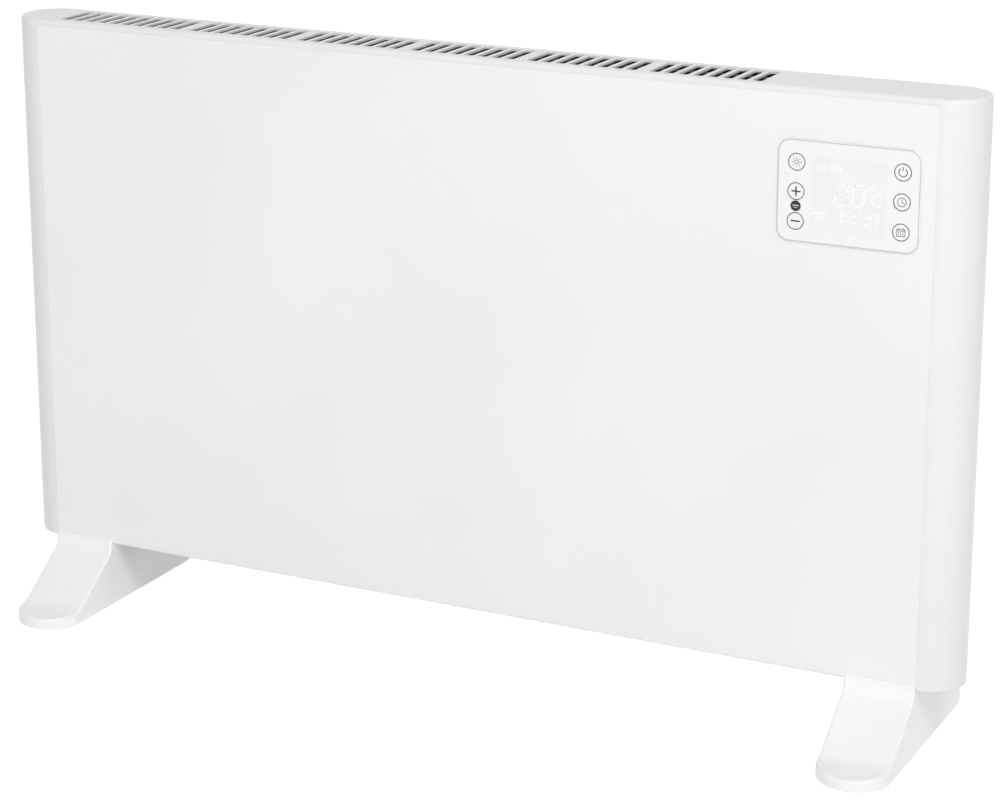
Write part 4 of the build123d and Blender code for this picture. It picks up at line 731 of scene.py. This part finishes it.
class Outline:
    """Flat marks on a plane, drawn in millimetres and raised by a hair."""

    arc_step = 7.0  # degrees from one point of an arc to the next, about
    arc_least = 6  # points that the shortest arc has
    corner_steps = 5

    def __init__(self, standing: Matrix, height: float = 0.04) -> None:
        """Starts an empty drawing.

        Args:
            standing: Takes the drawing, with its marks raised along Z, to its place in the CAD frame.
            height: How far the marks stand off their surface.
        """
        self.shape = bmesh.new()
        self.standing = standing
        self.height = height

    def place(self, verts: list[bmesh.types.BMVert], at: Spot, turn: float = 0.0) -> None:
        """Turns new points, drawn round zero in X and Y, and moves them to their place in the drawing."""
        bmesh.ops.rotate(self.shape, verts=verts, cent=(0, 0, 0), matrix=Matrix.Rotation(turn, 3, "Z"))
        bmesh.ops.translate(self.shape, verts=verts, vec=(*at, 0))

    def ring(self, at: Spot, radius: float, line: float, sides: int = 64) -> None:
        """Draws a closed ring.

        Args:
            at: Its middle.
            radius: Its outer radius.
            line: The line's width.
            sides: How many sides it has.
        """
        inner, outer = (
            bmesh.ops.create_circle(self.shape, cap_ends=False, segments=sides, radius=size)["verts"]
            for size in (radius - line, radius)
        )
        edges = {edge for vert in inner + outer for edge in vert.link_edges}
        bmesh.ops.bridge_loops(self.shape, edges=list(edges))
        self.place(inner + outer, at)

    def disc(self, at: Spot, radius: float, sides: int) -> None:
        """Draws a full disc."""
        made = bmesh.ops.create_circle(self.shape, cap_ends=True, segments=sides, radius=radius)
        self.place(made["verts"], at)

    def arc(self, at: Spot, radius: float, line: float, start: float, sweep: float) -> None:
        """Draws part of a ring.

        Args:
            at: The ring's middle.
            radius: Its outer radius.
            line: The line's width.
            start: Where it begins, in degrees from +X, counter-clockwise.
            sweep: How far it goes, in degrees.
        """
        before = set(self.shape.verts)
        ends = [self.shape.verts.new((x, 0, 0)) for x in (radius - line, radius)]
        edge = self.shape.edges.new(ends)
        bmesh.ops.spin(
            self.shape,
            geom=[*ends, edge],
            cent=(0, 0, 0),
            axis=(0, 0, 1),
            angle=math.radians(sweep),
            steps=max(self.arc_least, round(sweep / self.arc_step)),
        )
        self.place([vert for vert in self.shape.verts if vert not in before], at, math.radians(start))

    def bar(self, at: Spot, width: float, height: float, turn: float = 0.0, corner: float = 0.0) -> None:
        """Draws a bar or a plate, with rounded corners where corner isn't zero.

        Args:
            at: Its middle.
            width: Along X before the turn.
            height: Along Z before the turn.
            turn: In degrees, counter-clockwise.
            corner: The corners' radius.
        """
        before = set(self.shape.verts)
        verts = bmesh.ops.create_grid(self.shape, x_segments=1, y_segments=1, size=0.5)["verts"]
        bmesh.ops.scale(self.shape, vec=(width, height, 1), verts=verts)
        if corner:
            how = {"segments": self.corner_steps, "profile": 0.5, "affect": "VERTICES", "material": -1}
            bmesh.ops.bevel(self.shape, geom=verts, offset=corner, **how)
            verts = [vert for vert in self.shape.verts if vert not in before]
        self.place(verts, at, math.radians(turn))

    def border(self, at: Spot, width: float, height: float, corner: float, line: float) -> None:
        """Draws the outline of a plate with rounded corners, its line inside the given size.

        Args:
            at: Its middle.
            width: Its outer width.
            height: Its outer height.
            corner: The outer radius of its corners.
            line: The line's width.
        """
        before = set(self.shape.faces)
        self.bar(at, width, height, corner=corner)
        plate = [face for face in self.shape.faces if face not in before]
        how = {"use_boundary": True, "use_even_offset": True}
        bmesh.ops.inset_region(self.shape, faces=plate, thickness=line, **how)
        bmesh.ops.delete(self.shape, geom=plate, context="FACES")

    def slant(self, angle: float) -> None:
        """Leans all that is drawn to the right, as on a segment display."""
        for vert in self.shape.verts:
            vert.co.x += vert.co.y * math.tan(math.radians(angle))

    def move(self, at: Spot) -> None:
        """Moves all that is drawn."""
        bmesh.ops.translate(self.shape, verts=self.shape.verts, vec=(*at, 0))

    def piece(self, name: str, material: bpy.types.Material, body: str = "body") -> bpy.types.Object:
        """Raises the drawing off its surface and makes the piece.

        Args:
            name: The piece's name.
            material: Its finish.
            body: The CAD body that it rides on.

        Returns:
            The finished piece.
        """
        raised = bmesh.ops.extrude_face_region(self.shape, geom=list(self.shape.faces))["geom"]
        upper = [item for item in raised if isinstance(item, bmesh.types.BMVert)]
        bmesh.ops.translate(self.shape, vec=(0, 0, self.height), verts=upper)
        bmesh.ops.transform(self.shape, matrix=self.standing, verts=self.shape.verts)
        piece = finish_mesh(name, self.shape, material)
        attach(piece, body)
        LOGGER.info("made %s", name)
        return piece


# --- control window ---


@dataclass(frozen=True)
class Strokes:
    """A sign as strokes, each placed from the sign's own middle.

    Attributes:
        rings: Each closed ring's middle, outer radius, line and sides.
        arcs: Each open ring's middle, outer radius, line, start and sweep.
        bars: Each bar's middle, width and height, and its turn and its corners where it has them.
    """

    rings: tuple[Row, ...] = ()
    arcs: tuple[Row, ...] = ()
    bars: tuple[Row, ...] = ()

    def draw(self, drawing: Outline, x: float = 0.0, z: float = 0.0) -> None:
        """Draws the sign round a point.

        Args:
            drawing: The drawing that takes it.
            x: The point's X.
            z: The point's Z.
        """
        kinds = ((drawing.ring, self.rings), (drawing.arc, self.arcs), (drawing.bar, self.bars))
        for add, rows in kinds:
            for (across, up), *sizes in rows:
                add((x + across, z + up), *sizes)


MINUS = Strokes(bars=(((0, 0), 6.4, 1.0),))
PLUS = Strokes(bars=(*MINUS.bars, ((0, -1.85), 1.0, 2.7), ((0, 1.85), 1.0, 2.7)))
SUN_RAY = 2.75  # from the sun's middle to a ray's
SUN = Strokes(
    rings=(((0, 0), 1.5, 0.42, 32),),
    bars=tuple(
        ((SUN_RAY * math.cos(turn), SUN_RAY * math.sin(turn)), 1.1, 0.42, math.degrees(turn))
        for turn in (index * math.pi / 4 for index in range(8))
    ),
)
POWER = Strokes(arcs=(((0, 0), 3.1, 0.6, 125, 290),), bars=(((0, 2.35), 0.6, 2.6),))
CLOCK = Strokes(
    rings=(((0, 0), 3.1, 0.45, 40),),
    bars=(((0, 1.05), 0.45, 2.1), ((0.85, -0.35), 1.9, 0.45, -25)),
)
CALENDAR = Strokes(
    bars=(
        ((0, -2.59), 6.0, 0.42),
        ((-2.79, -0.3), 0.42, 4.16),
        ((0, 1.99), 6.0, 0.42),
        ((2.79, -0.3), 0.42, 4.16),
        ((0, 1.0), 5.2, 0.42),
        ((-1.6, 2.6), 0.45, 0.9),
        ((1.6, 2.6), 0.45, 0.9),
        *(((across, up), 0.7, 0.6) for across in (-1.5, 0, 1.5) for up in (-0.2, -1.5)),
    )
)
# In the CAD frame's X and Z: the degree sign and a ring; the C; the time's colon, two labels and a level
DISPLAY_SIGNS = Strokes(
    rings=(((304.2, 390.2), 1.75, 0.8, 28), ((270.6, 401.4), 2.6, 0.9, 32)),
    arcs=(((308.7, 382.9), 4.7, 1.5, 55, 250),),
    bars=(
        ((294.1, 367.3), 1.3, 1.3),
        ((294.1, 371.1), 1.3, 1.3),
        ((269.4, 371.0), 9.8, 1.6, 0, 0.5),
        ((269.4, 368.2), 6.6, 1.2, 0, 0.4),
        *(((276.9 + 2.0 * index, 401.4), 1.2, (3.4, 5.2)[index % 2], 0, 0.4) for index in range(4)),
    ),
)


# The middle of each stroke of a segment digit, across and up; those with 0 across lie flat
SEGMENTS: dict[str, Spot] = {
    "a": (0, 1),
    "b": (0.5, 0.5),
    "c": (0.5, -0.5),
    "d": (0, -1),
    "e": (-0.5, -0.5),
    "f": (-0.5, 0.5),
    "g": (0, 0),
}
DIGITS = {"0": "abcdef", "1": "bc", "2": "abged", "4": "fgbc", "8": "abcdefg"}


@dataclass(frozen=True)
class Reading:
    """A row of segment digits.

    Attributes:
        name: What each digit's piece is called, before its number.
        text: The digits.
        columns: X of each one's middle.
        middle: Z of their middles.
        width: Of a digit.
        height: Of a digit.
        stroke: Width of the strokes.
        slant: How far the digits lean to the right, in degrees.
        gap: How much shorter a stroke is than its place, in widths of the stroke.
        rounding: Radius of the strokes' corners, in the same.
    """

    name: str
    text: str
    columns: tuple[float, ...]
    middle: float
    width: float
    height: float
    stroke: float
    slant: float = 5.0
    gap: float = 0.2
    rounding: float = 0.3

    def draw(self, drawing: Outline, digit: str, x: float) -> None:
        """Draws one digit.

        Args:
            drawing: The empty drawing that takes it.
            digit: The digit.
            x: X of its middle.
        """
        across, up = self.width - self.stroke, (self.height - self.stroke) / 2
        gap, corner = self.stroke * self.gap, self.stroke * self.rounding
        for name in DIGITS[digit]:
            right, rise = SEGMENTS[name]
            size = (self.stroke, up - gap) if right else (across - gap, self.stroke)
            drawing.bar((right * across, rise * up), *size, corner=corner)
        drawing.slant(self.slant)
        drawing.move((x, self.middle))


@dataclass
class ControlWindow:
    """The print on the touch window, a grey line of painted shade round its edge, and the display behind it.

    Attributes:
        box: Gives the finishes.
        middle: X and Z of the window's middle.
        face: Y of its front.
        rim: Width, height and corners of its flat face, which the painted shade line runs round.
        line: Width of the painted shade line and of the keys' rings.
        columns: X of the two key columns.
        rows: Z of the three key rows.
        ring: Outer radius of a key's ring.
        signs: For each piece of print its name and ink, and column, row and sign of its keys.
        receiver: X and Z of the dark disc between the left column's lower keys.
        disc: Radius and sides of that disc.
        bars: The two pale bars on it.
        bar_lift: How far their underside stands off the window.
        display: X of the display's left and right edge, and Z of its lower and upper one.
        corner: Radius of its corners.
        glass: How far it stands off the window.
        segment: Thickness of its segments and of the pale bars.
        readings: The room temperature and the time.
    """

    box: Paintbox
    middle: Spot = (288.4, 384.5)
    face: float = -27.3
    rim: Place = (97.4, 68.2, 8.4)
    line: float = 0.6
    columns: Spot = (252.6, 325.1)
    rows: Place = (403.7, 384.0, 364.0)
    ring: float = 5.95
    signs: tuple[Row, ...] = (
        ("temperature_signs", Paint.DARK_INK, ((0, 1, PLUS), (0, 2, MINUS))),
        ("key_symbols", Paint.INK, ((0, 0, SUN), (1, 0, POWER), (1, 1, CLOCK), (1, 2, CALENDAR))),
    )
    receiver: Spot = (252.6, 374.2)
    disc: tuple[float, int] = (3.6, 48)
    bars: Strokes = Strokes(bars=(((0, 0.3), 4.4, 0.55), ((0, -1.1), 2.6, 0.4)))
    bar_lift: float = 0.05
    display: tuple[float, float, float, float] = (263.2, 314.7, 358.1, 409.0)
    corner: float = 1.5
    glass: float = 0.02
    segment: float = 0.03
    readings: tuple[Reading, ...] = (
        Reading("temperature_digit", "20", (283.9, 295.5), 384.9, 9.6, 15.8, 1.9),
        Reading("time_digit", "1840", (281.8, 289.4, 298.9, 306.6), 369.2, 6.2, 10.4, 1.3),
    )

    def marks(self, height: float = 0.04, lift: float = 0.0) -> Outline:
        """An empty drawing over the window's face, in the CAD frame's X and Z."""
        return Outline(front_plane(0.0, self.face - lift, 0.0), height)

    def rim_line(self) -> None:
        """Draws the thin grey line round the window's edge, painted shade of the gap there."""
        drawing = self.marks()
        drawing.border(self.middle, *self.rim, self.line)
        drawing.piece("window_rim_shade_line", self.box.get(Paint.PALE_INK))

    def keys(self) -> None:
        """Prints the six rings, then the signs in them."""
        drawing = self.marks()
        for x in self.columns:
            for z in self.rows:
                drawing.ring((x, z), self.ring, self.line)
        drawing.piece("key_rings", self.box.get(Paint.INK))
        for name, ink, keys in self.signs:
            drawing = self.marks()
            for column, row, sign in keys:
                sign.draw(drawing, self.columns[column], self.rows[row])
            drawing.piece(name, self.box.get(ink))

    def receiver_eye(self) -> None:
        """Prints the dark disc of the remote control's receiver, with two pale bars."""
        drawing = self.marks()
        drawing.disc(self.receiver, *self.disc)
        drawing.piece("receiver_eye", self.box.get(Paint.DARK_INK))
        bars = self.marks(self.segment, self.bar_lift)
        self.bars.draw(bars, *self.receiver)
        bars.piece("receiver_bars", self.box.get(Paint.MARK_WHITE))

    def light_display(self) -> None:
        """Lays the display's clear grey field into the white print and lights its segments."""
        left, right, low, high = self.display
        drawing = self.marks(self.glass)
        middle = ((left + right) / 2, (low + high) / 2)
        drawing.bar(middle, right - left, high - low, corner=self.corner)
        drawing.piece("display_field", self.box.get(Paint.DISPLAY_GREY))
        lit = self.box.get(Paint.SEGMENT)
        for reading in self.readings:
            for index, (digit, x) in enumerate(zip(reading.text, reading.columns)):
                drawing = self.marks(self.segment, self.segment)
                reading.draw(drawing, digit, x)
                drawing.piece(f"{reading.name}_{index}", lit)
        drawing = self.marks(self.segment, self.segment)
        DISPLAY_SIGNS.draw(drawing)
        drawing.piece("display_signs", lit)

    def build(self) -> None:
        """Makes the whole print, the painted shade line round the window, and the display."""
        self.rim_line()
        self.light_display()
        self.keys()
        self.receiver_eye()


# --- trim and marks ---


@dataclass
class JointTrim:
    """White beads that close the body's joints: beside the end caps and under the top grille.

    Attributes:
        box: Gives the finish.
        seam: X of the joint between a panel and an end cap, from the middle.
        width: Width of the bead in that joint.
        low: Z of its lower end.
        high: Z of its upper end, and of the lower side of the bead under the grille.
        grille: Z of the underside of the grille's rim.
        inside: Y of the panels' inner faces, from the middle.
        fold: Y where the panels' folded top edge ends, from the middle.
        depth: How far the beads lie below the panels' faces.
        face: Y of the panels' faces, from the middle.
    """

    box: Paintbox
    seam: float = 347.5
    width: float = 0.38
    low: float = 50.6
    high: float = 447.6
    grille: float = 449.25
    inside: float = 25.0
    fold: float = 24.0
    depth: float = 0.24
    face: float = 26.0

    def build(self) -> None:
        """Fits the beads at the front and at the rear."""
        white = self.box.get(Paint.WHITE_PLASTIC)
        for side, plane, turn in (("front", front_plane, -1), ("rear", rear_plane, 1)):
            seams = Outline(plane(0.0, turn * self.inside, 0.0), self.face - self.depth - self.inside)
            for x in (-self.seam, self.seam):
                seams.bar((x, (self.low + self.high) / 2), self.width, self.high - self.low)
            seams.piece(f"{side}_seam_beads", white)
            lip = Outline(plane(0.0, turn * self.fold, 0.0), self.face - self.depth - self.fold)
            lip.bar((0.0, (self.high + self.grille) / 2), 2 * self.seam, self.grille - self.high)
            lip.piece(f"{side}_grille_bead", white)


@dataclass
class SwitchMarks:
    """The on and off signs moulded into the main switch's rocker, which they ride on.

    Attributes:
        box: Gives the finish.
        pivot: X, Y and Z of the rocker's pivot.
        lift: Height of the rocker's middle ridge over the pivot.
        facet: Length of each of its two faces.
        tilt: Degrees by which each face rises from the ridge, and by which the rocker leans at rest.
        height: How far the signs stand off the rocker.
        bar: Width and height of the on sign.
        ring: Radius, line and sides of the off sign.
    """

    box: Paintbox
    pivot: Place = (310.4, 24.0, 123.5)
    lift: float = 3.0
    facet: float = 7.6
    tilt: float = 12.0
    height: float = 0.06
    bar: Spot = (0.8, 3.4)
    ring: tuple[float, float, int] = (1.75, 0.7, 40)

    def sign(self, side: int) -> Outline:
        """Starts a drawing on one of the rocker's faces.

        Args:
            side: 1 for the face above the pivot at rest, -1 for the one below it.

        Returns:
            The empty drawing, with its zero in the middle of that face.
        """
        lean = math.radians(self.tilt)
        out = self.lift + self.facet / 2 * math.tan(lean)
        up = side * self.facet / 2
        x, y, z = self.pivot
        y += out * math.cos(lean) - up * math.sin(lean)
        z += out * math.sin(lean) + up * math.cos(lean)
        return Outline(rear_plane(x, y, z, 0.0 if side > 0 else 2 * self.tilt), self.height)

    def build(self) -> None:
        """Moulds the bar of the on side and the ring of the off side."""
        white = self.box.get(Paint.MARK_WHITE)
        on_side = self.sign(1)
        on_side.bar((0.0, 0.0), *self.bar)
        on_side.piece("switch_on_sign", white, "rocker")
        off_side = self.sign(-1)
        off_side.ring((0.0, 0.0), *self.ring)
        off_side.piece("switch_off_sign", white, "rocker")


# --- studio ---


@dataclass(frozen=True)
class Softbox:
    """One square lamp.

    Attributes:
        name: Its name.
        middle: Where it hangs.
        side: Its width and height.
        power: In watts.
    """

    name: str
    middle: Place
    side: float
    power: float

    def hang(self, aim: Place) -> None:
        """Hangs the lamp so that it faces a point.

        Args:
            aim: That point.
        """
        data = bpy.data.lights.new(self.name, "AREA")
        data.shape = "SQUARE"
        data.size = self.side * MM
        data.energy = self.power
        lamp = bpy.data.objects.new(self.name, data)
        lamp.location = point(*self.middle)
        lamp.rotation_mode = "QUATERNION"
        lamp.rotation_quaternion = (point(*aim) - point(*self.middle)).to_track_quat("-Z", "Y")
        bpy.context.scene.collection.objects.link(lamp)


@dataclass
class Studio:
    """A pale floor, a white surround and soft lamps.

    Attributes:
        floor_half: Half the floor's width.
        floor_colour: The floor's own sRGB colour under the lamps.
        floor_lift: What the floor adds for the camera and for reflections, so that it reads white.
        horizon: The surround's light on the object from below.
        zenith: The same from straight above, where a studio is darker.
        behind: What comes on top of that from behind the object, where no softbox stands.
        aim: The point that the lamps face.
        lamps: The lamps.
    """

    floor_half: float = 12000.0
    floor_colour: str = "#EDEDED"
    floor_lift: float = 0.6
    horizon: float = 0.45
    zenith: float = 0.36
    behind: float = 0.45
    aim: Place = (0, 0, 250)
    lamps: tuple[Softbox, ...] = (
        Softbox("key_softbox", (2130, -2360, 3430), 1800, 70),
        Softbox("fill_softbox", (700, -2700, 900), 1500, 20.5),
    )

    def seen(self, tree: Tree) -> Socket:
        """Finds the rays that come from the camera, a reflection or a clear piece.

        Args:
            tree: The nodes that take the test.

        Returns:
            1 for such a ray, else 0.
        """
        rays = add_node(tree, "ShaderNodeLightPath").outputs
        seen = rays["Is Camera Ray"]
        for name in ("Is Glossy Ray", "Is Transmission Ray"):
            either = {0: seen, 1: rays[name]}
            seen = add_node(tree, "ShaderNodeMath", either, operation="MAXIMUM").outputs["Value"]
        return seen

    def floor(self) -> None:
        """Lays the floor."""
        material = bpy.data.materials.new("paper_floor")
        material.use_nodes = True
        tree = material.node_tree
        tree.nodes.clear()
        paper = add_node(tree, "ShaderNodeBsdfDiffuse", {"Color": linear(self.floor_colour)})
        shown = {0: self.seen(tree), 1: self.floor_lift}
        lift = add_node(tree, "ShaderNodeMath", shown, operation="MULTIPLY")
        glow = add_node(tree, "ShaderNodeEmission", {"Strength": lift.outputs["Value"]})
        both = add_node(tree, "ShaderNodeAddShader", {0: paper.outputs["BSDF"], 1: glow.outputs["Emission"]})
        add_node(tree, "ShaderNodeOutputMaterial", {"Surface": both.outputs["Shader"]})
        shape = bmesh.new()
        bmesh.ops.create_grid(shape, x_segments=4, y_segments=4, size=self.floor_half)
        finish_mesh("floor", shape, material)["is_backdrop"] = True

    def world(self) -> None:
        """Makes the surround, white wherever it is seen."""
        world = bpy.data.worlds.new("white_surround")
        world.use_nodes = True
        tree = world.node_tree
        tree.nodes.clear()
        aim = add_node(tree, "ShaderNodeTexCoord").outputs["Generated"]
        axes = add_node(tree, "ShaderNodeSeparateXYZ", {"Vector": aim}).outputs
        upward = {"Value": axes["Z"], "To Min": self.horizon, "To Max": self.zenith}
        backward = {"Value": axes["Y"], "To Max": self.behind}
        parts = [add_node(tree, "ShaderNodeMapRange", way).outputs["Result"] for way in (upward, backward)]
        light = add_node(tree, "ShaderNodeMath", dict(enumerate(parts)), operation="ADD").outputs["Value"]
        choice = {"Value": self.seen(tree), "To Min": light, "To Max": 1.0}
        strength = add_node(tree, "ShaderNodeMapRange", choice).outputs["Result"]
        white = {"Color": linear("#FFFFFF"), "Strength": strength}
        surround = add_node(tree, "ShaderNodeBackground", white)
        add_node(tree, "ShaderNodeOutputWorld", {"Surface": surround.outputs["Background"]})
        bpy.context.scene.world = world

    def build(self) -> None:
        """Sets up the whole studio."""
        self.floor()
        self.world()
        for lamp in self.lamps:
            lamp.hang(self.aim)
        LOGGER.info("made the studio")


@dataclass
class PhotoCamera:
    """The camera at the photograph's viewing angle.

    Attributes:
        azimuth: Degrees to the right of the front.
        elevation: Degrees above the horizon.
        roll: Degrees, counter-clockwise.
        distance: To the target.
        target: The point on the body's middle plane that it looks at.
        sensor: The sensor's width.
        focal: Focal length.
        shift: How far the frame is shifted across and up, in widths of the frame.
        clip: Nearest and farthest distance that it sees, in metres.
    """

    azimuth: float = 26.33
    elevation: float = 15.21
    roll: float = 0.0
    distance: float = 1985.7
    target: Place = (22.8, 0.0, 275.8)
    sensor: float = 36.0
    focal: float = 100.883
    shift: Spot = (0.0, -0.1055)
    clip: Spot = (0.05, 60.0)

    def build(self) -> None:
        """Makes the camera and gives it to the scene."""
        across, up = math.radians(self.azimuth), math.radians(self.elevation)
        back = Vector((math.sin(across) * math.cos(up), -math.cos(across) * math.cos(up), math.sin(up)))
        data = bpy.data.cameras.new("photo_camera")
        data.sensor_fit = "HORIZONTAL"
        data.sensor_width = self.sensor
        data.lens = self.focal
        data.shift_x, data.shift_y = self.shift
        data.clip_start, data.clip_end = self.clip
        camera = bpy.data.objects.new("photo_camera", data)
        camera.location = point(*self.target) + back * self.distance * MM
        camera.rotation_mode = "QUATERNION"
        rolled = Quaternion((0, 0, 1), math.radians(self.roll))
        camera.rotation_quaternion = (-back).to_track_quat("-Z", "Y") @ rolled
        bpy.context.scene.collection.objects.link(camera)
        bpy.context.scene.camera = camera
        LOGGER.info("made the camera")


# --- main ---


@dataclass
class SizeNote:
    """Keeps the object's box before and after the dressing."""

    boxes: dict[str, list[list[float]]] = field(default_factory=dict)

    def take(self, name: str) -> None:
        """Notes the shown object's box under a name.

        Args:
            name: The name.
        """
        self.boxes[name] = [list(corner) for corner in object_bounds()]


def main() -> None:
    """Builds the camera, the studio and each sub-assembly's looks, in order."""
    logging.basicConfig(level=logging.INFO, format="%(name)s: %(message)s")
    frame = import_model()
    note = SizeNote()
    note.take("cad")
    bpy.context.scene.view_settings.view_transform = "Standard"
    PhotoCamera().build()
    Studio().build()
    box = Paintbox()
    box.dress_frame(frame)
    for assembly in (ControlWindow, JointTrim, SwitchMarks):
        assembly(box).build()
    note.take("visual")


if __name__ == "__main__":
    main()
